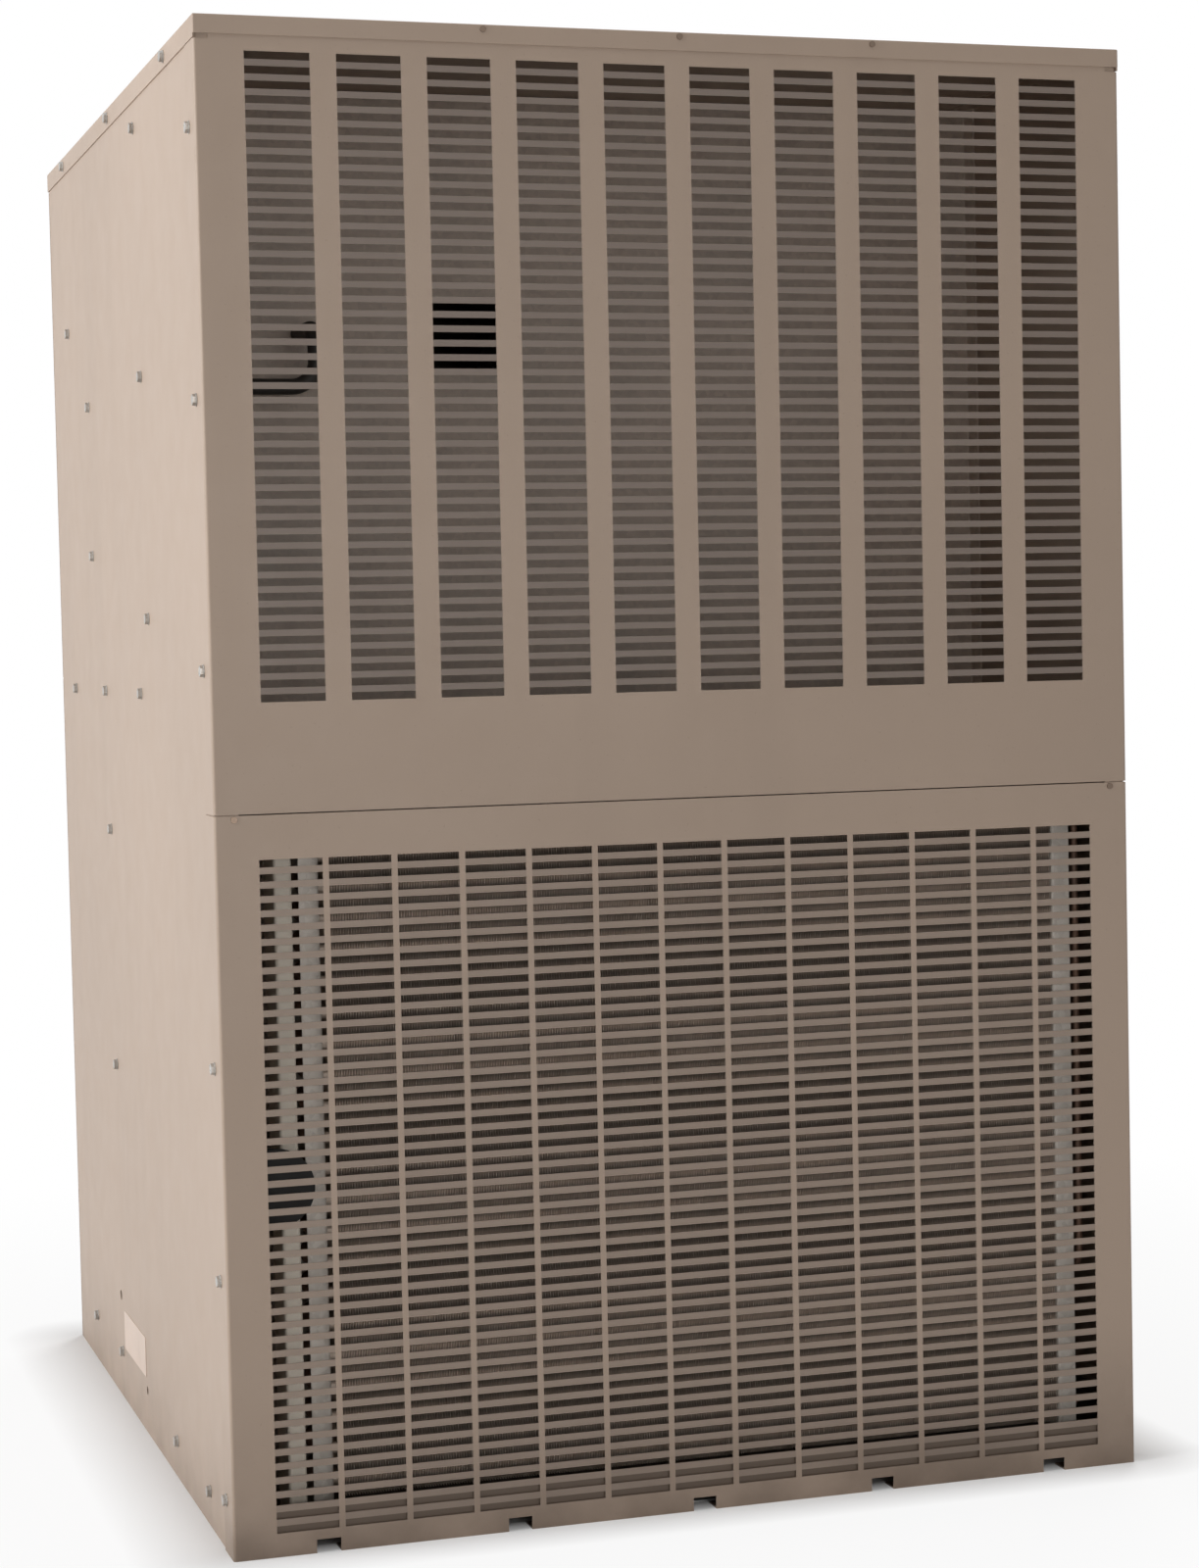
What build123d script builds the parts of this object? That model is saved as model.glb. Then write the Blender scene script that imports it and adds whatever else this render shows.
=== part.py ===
"""A through-the-wall package unit: cabinet, outdoor section, indoor section and controls.

Sizes are in millimetres. Each piece is built with x from the left side, y from the outdoor face and
z from the floor. save() then moves it, so that the finished part stands on the middle of its base.
"""
from build123d import *
from math import cos, radians, sin, tau
import os

os.makedirs("parts", exist_ok=True)

# Cabinet
width = 795.0
depth = 860.0
height = 1220.0
sheet = 1.2
bend = 2.0
cap_front_lip = 15.0
cap_lip = 18.0
joint_gap = 1.0
corner_strip = 12.0
side_flange = 18.0

# Front panels
seam_height = 595.0
panel_return = 38.0
seam_flange = 12.0
louver_columns = 10
louver_rows = 45
louver_column_pitch = 73.6
louver_row_pitch = 11.43
louver_slot_width = 52.3
louver_slot_height = 6.2
louver_top_margin = 30.5
grille_columns = 13
grille_rows = 48
grille_column_pitch = 56.1
grille_row_pitch = 11.36
grille_slot_width = 51.1
grille_slot_height = 6.0
grille_top_margin = 39.0
bottom_lip = 18.0
notch_count = 5
notch_pitch = 160.0
notch_width = 20.0
notch_height = 11.0

# Base and inside walls
rail_height = 12.0
rail_width = 40.0
rail_sheet = 1.6
rail_setback = 25.0
pan_front_wall = 29.0
pan_side_wall = 42.0
partition_y = 310.0
lower_partition_y = 564.0
deck_height = 676.0
wall_flange = 20.0
deck_hole_left = 100.0
deck_hole_right = 700.0
deck_hole_length = 130.0
deck_hole_margin = 3.0

# Holes in the side panels, as depth, height and radius
overflow_hole = (427.0, 40.0, 4.0)
side_mark = (575.0, 100.0, 5.0)
knockout = (780.0, 1120.0, 11.1)

# Fresh-air opening in the upper partition, and its sliding damper
vent_x = 300.0
vent_z = 1004.5
vent_width = 80.0
vent_height = 65.0
damper_overlap = 8.0
damper_play = 0.4
damper_travel = 100.0
guide_grip = 5.0
guide_width = 12.0
damper_knob_radius = 8.0
damper_knob_length = 14.0

# Tube coils
tube_pitch = 25.4
row_pitch = 22.0
tube_radius = 4.76
fin_pitch = 6.0
fin_thickness = 0.8
fin_spine = 2.0
end_plate = 1.5
end_flange = 16.0
end_gap = 5.0
plate_overhang = 6.0

# Condenser coil and the post beside it
condenser_front = 25.0
condenser_left = 93.0
condenser_right = 733.0
condenser_bottom = 37.0
condenser_tubes = 21
post_left = 51.0
post_width = 15.0
post_depth = 40.0
pad_left = 39.0
pad_length = 38.0
pad_height = 63.0
pad_bottom = 262.0
pad_thickness = 8.0

# Condenser fan
shroud_y = 130.0
shroud_top = 582.0
fan_height = 310.0
fan_radius = 225.0
fan_blades = 4
fan_tip_clearance = 8.0
fan_ring_depth = 38.0
fan_hub_radius = 46.0
fan_hub_length = 30.0
fan_offset = 14.0
blade_thickness = 1.8
shaft_radius = 6.35
running_clearance = 0.05
fan_motor_radius = 70.0
fan_motor_length = 110.0
fan_motor_y = 208.0
motor_bore_depth = 60.0
band_thickness = 2.0
band_width = 22.0
bracket_rod_radius = 4.0
bracket_foot = 24.0
bracket_reach = 262.0

# Compressor and refrigerant lines
compressor_x = 620.0
compressor_y = 440.0
compressor_radius = 82.0
compressor_top = 345.0
compressor_dome = 30.0
foot_circle = 104.0
foot_plate = 3.0
foot_margin = 4.0
grommet_height = 15.0
grommet_radius = 12.0
terminal_cover_width = 60.0
terminal_cover_reach = 12.0
terminal_cover_drop = 70.0
accumulator_x = 494.0
accumulator_y = 470.0
accumulator_radius = 34.0
accumulator_bottom = 90.0
accumulator_top = 320.0
gas_line_x = 758.0
gas_line_y = 30.0
gas_line_low = 166.0
gas_line_rise = 60.0
gas_line_radius = 3.2
liquid_line_radius = 4.76
suction_line_radius = 7.94
suction_x = 720.0
line_clearance = 1.0
drier_radius = 22.5
drier_start = 200.0
drier_length = 130.0
valve_x = 700.0
valve_y = 640.0
valve_radius = 14.0

# Wiring conduit
conduit_x = 144.0
conduit_z = 1003.0
conduit_drop = 52.0
conduit_wall_x = 40.0
conduit_radius = 7.0

# Evaporator and drain pan
evaporator_front = 715.0
evaporator_left = 100.0
evaporator_right = 650.0
evaporator_bottom = 92.0
evaporator_tubes = 21
drain_pan_side = 6.0
drain_pan_margin = 20.0
drain_pan_bottom = 58.0
drain_pan_wall = 32.0
drain_x = 715.0
drain_radius = 13.35
drain_bore = 10.5
drain_reach = 26.0
drain_spigot = 25.0
drain_shoulder = 14.5

# Return-air opening, rack and filter
return_x = 385.0
return_opening = 570.0
filter_size = 597.0
filter_thickness = 19.0
filter_bottom = 62.0
filter_border = 20.0
filter_play = 1.5
filter_seat = 0.5
filter_tab = 15.0
filter_tab_width = 60.0
pleat_pitch = 18.0
pleat_sheet = 1.5
rack_depth = 22.0
rack_lip = 15.0

# Indoor blower
blower_x = 525.0
blower_y = 560.0
blower_z = 890.0
blower_width = 250.0
scroll_radius = 145.0
scroll_step = 22.0
inlet_radius = 112.0
wheel_radius = 130.0
wheel_inner_radius = 108.0
wheel_width = 226.0
wheel_blades = 40
wheel_ring = 3.0
wheel_disc_radius = 119.0
wheel_blade_thickness = 1.2
wheel_slot_play = 0.2
wheel_hub_radius = 24.0
wheel_hub_length = 30.0
blower_motor_radius = 65.0
blower_motor_length = 115.0
blower_motor_offset = 50.0
blower_foot_reach = 22.0

# Heater and supply collar
heater_bottom = 1090.0
heater_height = 70.0
heater_count = 3
heater_rod_radius = 4.0
collar_height = 25.0
collar_flange = 15.0

# Controls
box_front = 605.0
box_rear = 765.0
box_depth = 168.0
box_bottom = 770.0
box_top = 1070.0
breaker_x = 48.0
breaker_z = 1000.0
breaker_width = 36.0
breaker_height = 80.0
lever_radius = 10.0
lever_width = 12.0
lever_length = 26.0
lever_gap = 0.4
lever_throw = 20.0
contactor_width = 60.0
contactor_depth = 60.0
contactor_height = 80.0
contactor_rise = 70.0
contactor_travel = 3.0
plunger_width = 24.0
plunger_height = 56.0
plunger_well = 20.0
plunger_inset = 2.0
terminal_pitch = 18.0
terminal_width = 10.0
terminal_depth = 12.0
terminal_height = 8.0
terminal_inset = 2.0
capacitor_width = 70.0
capacitor_thickness = 44.0
capacitor_height = 95.0
capacitor_wall_gap = 3.0
stud_pitch = 28.0
stud_radius = 4.0
stud_height = 8.0
row_from_right = 42.0
transformer_drop = 75.0
transformer_plate = (60.0, 2.0, 70.0)
transformer_core = (40.0, 47.0, 50.0)
transformer_coil = (30.0, 55.0, 34.0)
switch_size = 28.0
switch_depth = 50.0
breaker_depth = 70.0
button_radius = 4.0
button_travel = 2.5
button_x = 110.0
button_z = 1020.0

# Access panel
access_handle_x = 730.0
access_handle_length = 100.0
access_handle_reach = 22.0
access_handle_radius = 4.0
stiffener_depth = 10.0
stiffener_inset = 32.0

# Screws: a washer with a hexagon head on it
washer_radius = 5.2
washer_thickness = 1.0
hex_width = 8.0
hex_height = 2.6
small_screw_radius = 2.6
small_screw_height = 1.0

# Screw places: on the sides as depth and height, then along the panel returns, the cap and the rear
side_screw_places = [(307, 1180), (300, 964), (296, 753), (744, 1044), (618, 961), (618, 817),
                     (347, 687), (555, 687), (758, 687), (549, 555), (556, 328), (570, 46),
                     (264, 33), (106, 30), (737, 47)]
return_screw_y = 26.0
return_screw_heights = [1136, 923, 709, 392, 221, 44]
cap_screw_places = [136, 444, 741]
seam_screw_inset = 16.0
lip_screw_places = [234, 400, 569]
rear_screw_heights = [40, 250, 460, 670]
access_screw_heights = [735, 950, 1165]

# Places worked out from the sizes above
panel_back = 2 * sheet
inner_left = 2 * sheet
inner_right = width - 2 * sheet
rear_face = depth - sheet
floor_top = rail_height + sheet
under_cap = height - sheet
center_x = width / 2
coil_depth = 2 * row_pitch
condenser_top = condenser_bottom + condenser_tubes * tube_pitch
evaporator_top = evaporator_bottom + evaporator_tubes * tube_pitch
drain_pan_left = evaporator_left - end_gap - end_flange - drain_pan_side
drain_pan_right = drain_x + drain_shoulder + drain_pan_side
drain_z = drain_pan_bottom + drain_shoulder + sheet
liquid_z = condenser_bottom + tube_pitch / 2
valve_z = evaporator_bottom + tube_pitch / 2
suction_z = evaporator_bottom + evaporator_tubes * tube_pitch
deck_hole_rear = evaporator_front - deck_hole_margin
deck_hole_front = deck_hole_rear - deck_hole_length
deck_top = deck_height + sheet
deck_flange_top = deck_height + wall_flange
outdoor_reach = small_screw_height
indoor_reach = max(drain_reach, access_handle_reach + access_handle_radius, rack_depth)
middle_y = (depth + indoor_reach - outdoor_reach) / 2
duct = (blower_x - blower_width / 2 + sheet, blower_x + blower_width / 2 - sheet,
        blower_y - 3 * scroll_step - scroll_radius + sheet, blower_y - sheet)


def save(name, *pieces):
    """Move the pieces to the part's origin and write them as one STEP file."""
    solids = [solid for piece in pieces for solid in piece.solids()]
    moved = Pos(-center_x, -middle_y, 0) * Compound(solids)
    export_step(moved if len(solids) > 1 else moved.solids()[0], f"parts/{name}.step")


def block(x0, x1, y0, y1, z0, z1):
    """A box between two corners."""
    return Pos((x0 + x1) / 2, (y0 + y1) / 2, (z0 + z1) / 2) * Box(x1 - x0, y1 - y0, z1 - z0)


def rod(start, direction, radius, length):
    """A round bar from a point along a direction."""
    base = (Align.CENTER, Align.CENTER, Align.MIN)
    return Plane(origin=start, z_dir=direction) * Cylinder(radius, length, align=base)


def ring(start, direction, outer, inner, length):
    """A round tube from a point along a direction."""
    return rod(start, direction, outer, length) - rod(start, direction, inner, length)


def bent_sheet(points, z0, z1, thickness=sheet):
    """A sheet folded along upright lines: its middle line is given in x and y."""
    line = FilletPolyline(*points, radius=bend)
    return extrude(Plane.XY.offset(z0) * trace(line, thickness), amount=z1 - z0)


def pipe(points, radii, radius):
    """A round line of straight runs joined by arcs."""
    path = FilletPolyline(*points, radius=radii)
    section = Plane(origin=path @ 0, z_dir=path % 0) * Circle(radius)
    return sweep(section, path=path)


def slot_wires(columns, rows, column_pitch, row_pitch, slot_width, slot_height, top):
    """The outlines of a grid of slots, centred across the cabinet, on the plane of the front panels."""
    wires = []
    for column in range(columns):
        x = center_x + (column - (columns - 1) / 2) * column_pitch
        for row in range(rows):
            z = top - row * row_pitch
            corners = [(x - slot_width / 2, z - slot_height / 2), (x + slot_width / 2, z - slot_height / 2),
                       (x + slot_width / 2, z + slot_height / 2), (x - slot_width / 2, z + slot_height / 2)]
            wires.append(Wire.make_polygon([(u, sheet, v) for u, v in corners]))
    return wires


def front_panel(outline, slots, z0, z1, flanges):
    """A flat slotted sheet with flanges, and a rounded corner with a return on each side."""
    edge = Wire.make_polygon([(x, sheet, z) for x, z in outline])
    flat = Solid.extrude(Face(edge, slots), Vector(0, sheet, 0))
    middle = sheet / 2
    corners = []
    for side in (0, 1):
        points = [(middle, panel_return), (middle, sheet + middle), (corner_strip, sheet + middle)]
        if side:
            points = [(width - x, y) for x, y in points]
        corners.append(bent_sheet(points, z0, z1))
    return flat.fuse(*corners, *flanges)


def louver_panel():
    """The upper outdoor panel. Its top edge tucks up behind the cap's front lip."""
    low = seam_height + joint_gap / 2
    high = height - cap_lip - joint_gap
    tuck = under_cap - joint_gap
    left, right = corner_strip, width - corner_strip
    slots = slot_wires(louver_columns, louver_rows, louver_column_pitch, louver_row_pitch,
                       louver_slot_width, louver_slot_height, height - louver_top_margin)
    flange = block(inner_left + side_flange, inner_right - side_flange,
                   panel_back, panel_back + seam_flange, low, low + sheet)
    outline = [(left, low), (right, low), (right, tuck), (left, tuck)]
    save("louver_panel", front_panel(outline, slots, low, high, [flange]))


def coil_grille_panel():
    """The lower outdoor panel, with drain notches along its bottom edge."""
    top = seam_height - joint_gap / 2
    left, right = corner_strip, width - corner_strip
    outline = [(left, top), (left, 0)]
    first = center_x - (notch_count - 1) / 2 * notch_pitch
    for index in range(notch_count):
        x = first + index * notch_pitch
        outline += [(x - notch_width / 2, 0), (x - notch_width / 2, notch_height),
                    (x + notch_width / 2, notch_height), (x + notch_width / 2, 0)]
    outline += [(right, 0), (right, top)]
    slots = slot_wires(grille_columns, grille_rows, grille_column_pitch, grille_row_pitch,
                       grille_slot_width, grille_slot_height, seam_height - grille_top_margin)
    inner = (inner_left + side_flange, inner_right - side_flange)
    flange = block(*inner, panel_back, panel_back + seam_flange, top - sheet, top)
    lip = block(*inner, panel_back, panel_back + bottom_lip, 0, sheet)
    for index in range(notch_count):
        x = first + index * notch_pitch
        lip = lip - block(x - notch_width / 2, x + notch_width / 2, 0, panel_return, 0, notch_height)
    save("coil_grille_panel", front_panel(outline, slots, 0, top, [flange] + lip.solids()))


def top_cover():
    """The cap: a sheet with turned-down lips and an opening for the supply air."""
    lip = height - cap_lip
    outer = block(0, width, 0, depth, lip, height)
    outer = fillet(outer.edges().filter_by(Axis.Z) + outer.edges().group_by(Axis.Z)[-1], sheet)
    cap = outer - block(sheet, width - sheet, sheet, rear_face, lip, under_cap)
    cap = cap - block(0, width, 0, sheet, lip, height - cap_front_lip)
    cap = cap - block(duct[0], duct[1], duct[2], duct[3], under_cap, height)
    save("top_cover", cap)


def side_panel(name, side, extra_holes):
    """One side of the cabinet, flanged inwards at the front, the rear and the top."""
    middle = 1.5 * sheet
    points = [(inner_left + side_flange, panel_back + sheet / 2), (middle, panel_back + sheet / 2),
              (middle, rear_face - sheet / 2), (inner_left + side_flange, rear_face - sheet / 2)]
    panel = bent_sheet(points, 0, under_cap)
    panel = panel + block(middle, inner_left + side_flange, panel_back + bend, rear_face - bend,
                          under_cap - sheet, under_cap)
    for y, z, radius in extra_holes:
        panel = panel - rod((0, y, z), (1, 0, 0), radius, inner_left + sheet)
    if side > 0:
        panel = mirror(panel, Plane.YZ.offset(center_x))
    save(name, panel)


def base_pan():
    """The floor of the cabinet, a tray with a low front wall and an overflow hole in its left wall."""
    x0, x1, y0, y1 = inner_left, inner_right, panel_back + sheet, rear_face - sheet
    top = rail_height + pan_side_wall
    pan = block(x0, x1, y0, y1, rail_height, top)
    pan = fillet(pan.edges().filter_by(Axis.Z), bend)
    pan = pan - block(x0 + sheet, x1 - sheet, y0 + sheet, y1 - sheet, floor_top, top)
    pan = pan - block(x0, x1, y0, y0 + sheet, rail_height + pan_front_wall, top)
    pan = pan - rod((0, overflow_hole[0], overflow_hole[1]), (1, 0, 0), overflow_hole[2], panel_return)
    save("base_pan", pan)


def base_rails():
    """Three channels under the pan, flat side down."""
    rails = []
    half = rail_width / 2
    for x in (inner_left + half + rail_sheet, center_x, inner_right - half - rail_sheet):
        rail = block(x - half, x + half, rail_setback, depth - rail_setback, 0, rail_height)
        rails.append(rail - block(x - half + rail_sheet, x + half - rail_sheet,
                                  rail_setback, depth - rail_setback, rail_sheet, rail_height))
    save("base_rails", *rails)


def wall(y, z0, z1):
    """An inside wall across the cabinet, flanged towards the outdoor face on both sides."""
    left = inner_left + sheet / 2
    points = [(left, y - wall_flange), (left, y + sheet / 2),
              (width - left, y + sheet / 2), (width - left, y - wall_flange)]
    return bent_sheet(points, z0, z1)


def pan_wall_space(y0, y1):
    """The space that the pan's side walls take up along a stretch of depth."""
    top = rail_height + pan_side_wall
    return [block(inner_left, inner_left + sheet, y0, y1, 0, top),
            block(inner_right - sheet, inner_right, y0, y1, 0, top)]


def upper_partition():
    """The wall behind the louvres, with the fresh-air opening and the two guides of its damper."""
    panel = wall(partition_y, deck_height - wall_flange, under_cap - sheet)
    panel = panel - block(vent_x - vent_width / 2, vent_x + vent_width / 2,
                          partition_y, partition_y + sheet,
                          vent_z - vent_height / 2, vent_z + vent_height / 2)
    panel = panel - rod((conduit_x, partition_y - 1, conduit_z), (0, 1, 0), conduit_radius, sheet + 2)
    back = partition_y + sheet
    half = vent_height / 2 + damper_overlap + damper_play
    start = vent_x - vent_width / 2 - damper_overlap
    length = vent_width + 2 * damper_overlap + damper_travel
    slot = sheet + 2 * damper_play
    guides = []
    for sign in (-1, 1):
        foot = sorted((vent_z + sign * half, vent_z + sign * (half + guide_width)))
        grip = sorted((vent_z + sign * (half - guide_grip), vent_z + sign * (half + guide_width)))
        guides.append(block(start, start + length, back, back + slot, *foot)
                      + block(start, start + length, back + slot, back + slot + sheet, *grip))
    save("upper_partition", panel, *guides)


def vent_damper():
    """The sliding plate of the fresh-air opening, parked open beside it, with its knob."""
    back = partition_y + sheet + damper_play
    half_width = vent_width / 2 + damper_overlap
    half_height = vent_height / 2 + damper_overlap
    x = vent_x + damper_travel
    plate = block(x - half_width, x + half_width, back, back + sheet, vent_z - half_height, vent_z + half_height)
    knob = rod((x, back + sheet, vent_z), (0, 1, 0), damper_knob_radius, damper_knob_length)
    knob = fillet(knob.edges().filter_by(GeomType.CIRCLE).group_by(Axis.Y)[-1], sheet)
    save("vent_damper", plate + knob)


def deck():
    """The shelf between the blower compartment and the coil spaces, flanged upwards all round."""
    y0, y1 = partition_y + sheet, rear_face
    notch = inner_left + side_flange + joint_gap
    shelf = block(inner_left, inner_right, y0, y1, deck_height, deck_flange_top)
    shelf = shelf - block(inner_left + sheet, inner_right - sheet, y0 + sheet, y1 - sheet,
                          deck_top, deck_flange_top)
    for x0, x1 in ((inner_left, notch), (width - notch, inner_right)):
        shelf = shelf - block(x0, x1, y1 - sheet, y1, deck_height, deck_flange_top)
    for x0, x1 in ((inner_left, inner_left + bend), (inner_right - bend, inner_right)):
        shelf = shelf - block(x0, x1, y1 - sheet - bend, y1, deck_height, deck_flange_top)
    shelf = shelf - block(deck_hole_left, deck_hole_right, deck_hole_front, deck_hole_rear,
                          deck_height, deck_top)
    baffle = block(evaporator_left, evaporator_right, evaporator_front, evaporator_front + sheet,
                   evaporator_top + plate_overhang, deck_height)
    save("deck", shelf + baffle)


def lower_partition():
    """The wall between the compressor space and the evaporator space, with its two line holes."""
    panel = wall(lower_partition_y, floor_top, deck_height)
    for space in pan_wall_space(lower_partition_y - wall_flange, lower_partition_y + bend):
        panel = panel - space
    y = lower_partition_y - 1
    for x, z, radius in ((gas_line_x, liquid_z, liquid_line_radius),
                         (suction_x, suction_z, suction_line_radius)):
        panel = panel - rod((x, y, z), (0, 1, 0), radius + line_clearance, sheet + 2)
    save("lower_partition", panel)


def fin_pack(left, right, front, bottom, tubes):
    """A comb of fins on a middle spine that reaches both end plates."""
    middle = front + coil_depth / 2
    spine_left, spine_right = left - end_gap, right + fin_thickness
    count = int((right - left) / fin_pitch) + 1
    start = left + ((right - left) - (count - 1) * fin_pitch - fin_thickness) / 2
    front_side, back_side = [(spine_left, middle - fin_spine / 2)], [(spine_left, middle + fin_spine / 2)]
    for index in range(count):
        x = start + index * fin_pitch
        for side, reach, spine in ((front_side, front, middle - fin_spine / 2),
                                   (back_side, front + coil_depth, middle + fin_spine / 2)):
            side += [(x, spine), (x, reach), (x + fin_thickness, reach), (x + fin_thickness, spine)]
    front_side.append((spine_right, middle - fin_spine / 2))
    back_side.append((spine_right, middle + fin_spine / 2))
    outline = Wire.make_polygon([(x, y, bottom) for x, y in front_side + back_side[::-1]])
    return Solid.extrude(Face(outline), Vector(0, 0, tubes * tube_pitch))


def end_plates(left, right, front, foot, top):
    """The two plates that hold a coil's tubes, with flanges turned outwards."""
    plates = []
    for x, way in ((left - end_gap - end_plate / 2, -1), (right + fin_thickness + end_plate / 2, 1)):
        points = [(x + way * end_flange, front + end_plate / 2), (x, front + end_plate / 2),
                  (x, front + coil_depth - end_plate / 2), (x + way * end_flange, front + coil_depth - end_plate / 2)]
        plates.append(bent_sheet(points, foot, top, end_plate))
    return plates


def return_bends(left, right, front, bottom, tubes):
    """Half-round bends: level pairs of tubes on the left, and each pair to the next on the right."""
    half = tube_pitch / 2
    path = CenterArc((0, 0, 0), half, 0, 180)
    arc = sweep(Plane(origin=path @ 0, z_dir=path % 0) * Circle(tube_radius), path=path)
    bends = []
    for x, way, count in ((left - end_gap - end_plate, -1, tubes),
                          (right + fin_thickness + end_plate, 1, tubes - 1)):
        for index in range(count):
            level = bottom + half + index * tube_pitch
            first = Vector(x, front + row_pitch / 2, level if way < 0 else level + tube_pitch)
            second = Vector(x, front + 1.5 * row_pitch, level + half)
            place = Plane(origin=(first + second) * 0.5, x_dir=second - first,
                          z_dir=(second - first).cross(Vector(way, 0, 0)))
            bends.append(place.location * arc)
    return bends


def condenser_coil():
    """The outdoor coil: fins, end plates and return bends."""
    save("condenser_fins", fin_pack(condenser_left, condenser_right, condenser_front,
                                    condenser_bottom, condenser_tubes))
    save("condenser_end_plates", *end_plates(condenser_left, condenser_right, condenser_front,
                                             floor_top, condenser_top + plate_overhang))
    save("condenser_return_bends", *return_bends(condenser_left, condenser_right, condenser_front,
                                                 condenser_bottom, condenser_tubes))


def coil_side_post():
    """The pale channel that closes the gap beside the coil, standing on the pan."""
    left, right = post_left + sheet / 2, post_left + post_width - sheet / 2
    front = condenser_front + sheet / 2
    points = [(left, front + post_depth), (left, front), (right, front), (right, front + post_depth)]
    save("coil_side_post", bent_sheet(points, floor_top, shroud_top))


def coil_clamp_pad():
    """The dark rubber pad across the post and the coil's end plate, half-round at its inner end."""
    radius = pad_height / 2
    middle = pad_bottom + radius
    pad = block(pad_left, pad_left + pad_length - radius, condenser_front - pad_thickness,
                condenser_front, pad_bottom, pad_bottom + pad_height)
    end = rod((pad_left + pad_length - radius, condenser_front - pad_thickness, middle),
              (0, 1, 0), radius, pad_thickness)
    end = end & block(pad_left, pad_left + pad_length, 0, condenser_front, pad_bottom, pad_bottom + pad_height)
    save("coil_clamp_pad", pad + end)


def fan_shroud():
    """The wall behind the coil, the fan's ring welded on its back, and the baffle on its top edge."""
    back = shroud_y + sheet
    plate = block(inner_left, inner_right, shroud_y, back, floor_top, shroud_top)
    for space in pan_wall_space(shroud_y, back):
        plate = plate - space
    radius = fan_radius + fan_tip_clearance
    plate = plate - rod((center_x, shroud_y, fan_height), (0, 1, 0), radius, sheet)
    for z, line in ((gas_line_low, gas_line_radius), (liquid_z, liquid_line_radius)):
        plate = plate - rod((gas_line_x, shroud_y - 1, z), (0, 1, 0), line + line_clearance, sheet + 2)
    fan_ring = ring((center_x, back, fan_height), (0, 1, 0), radius + sheet, radius, fan_ring_depth - sheet)
    baffle = block(inner_left, inner_right, panel_back + sheet + bend, back, shroud_top, shroud_top + sheet)
    save("fan_shroud", plate, fan_ring, baffle)


def condenser_fan():
    """A propeller fan: pitched blades on a hub, trimmed to a true circle."""
    hub_start = shroud_y + fan_offset
    middle = hub_start + fan_hub_length / 2
    sections = []
    for radius, chord, pitch in ((fan_hub_radius * 0.8, 78.0, 30.0), (fan_radius * 0.6, 125.0, 21.0),
                                 (fan_radius + fan_tip_clearance, 150.0, 15.0)):
        turn = radians(pitch)
        plane = Plane(origin=(center_x, middle, fan_height + radius), x_dir=(cos(turn), sin(turn), 0),
                      z_dir=(0, 0, 1))
        sections.append(plane * Rectangle(chord, blade_thickness))
    blade = loft(sections)
    blade = blade & rod((center_x, hub_start - fan_hub_length, fan_height), (0, 1, 0),
                        fan_radius, 3 * fan_hub_length)
    axis = Axis((center_x, 0, fan_height), (0, 1, 0))
    fan = rod((center_x, hub_start, fan_height), (0, 1, 0), fan_hub_radius, fan_hub_length)
    fan = fillet(fan.edges().filter_by(GeomType.CIRCLE), 3 * sheet)
    for index in range(fan_blades):
        fan = fan + blade.rotate(axis, index * 360 / fan_blades)
    fan = fan - rod((center_x, hub_start, fan_height), (0, 1, 0),
                    shaft_radius + running_clearance, fan_hub_length)
    save("condenser_fan", fan)
    end = fan_motor_y + motor_bore_depth - running_clearance
    save("condenser_fan_shaft", rod((center_x, hub_start, fan_height), (0, 1, 0), shaft_radius, end - hub_start))


def condenser_fan_motor():
    """The fan's motor, with a bore for the shaft, and the four-armed bracket that carries it."""
    start = (center_x, fan_motor_y, fan_height)
    motor = rod(start, (0, 1, 0), fan_motor_radius, fan_motor_length)
    motor = fillet(motor.edges().filter_by(GeomType.CIRCLE), 4 * sheet)
    motor = motor - rod(start, (0, 1, 0), shaft_radius + running_clearance, motor_bore_depth)
    save("condenser_fan_motor", motor)
    band_y = fan_motor_y + fan_motor_length / 2
    bracket = ring((center_x, band_y - band_width / 2, fan_height), (0, 1, 0),
                   fan_motor_radius + band_thickness, fan_motor_radius, band_width)
    foot_y = shroud_y + sheet
    for index in range(4):
        turn = tau * (index + 0.5) / 4
        hold = fan_motor_radius + band_thickness / 2
        x, z = center_x + bracket_reach * cos(turn), fan_height + bracket_reach * sin(turn)
        arm = pipe([(center_x + hold * cos(turn), band_y, fan_height + hold * sin(turn)),
                    (x, band_y, z), (x, foot_y, z)], [5 * bracket_rod_radius], bracket_rod_radius)
        foot = block(x - bracket_foot / 2, x + bracket_foot / 2, foot_y, foot_y + band_thickness,
                     z - bracket_foot / 2, z + bracket_foot / 2)
        bracket = bracket + arm + foot
    inside = rod(start, (0, 1, 0), fan_motor_radius, fan_motor_length)
    save("fan_motor_bracket", bracket - inside)


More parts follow.
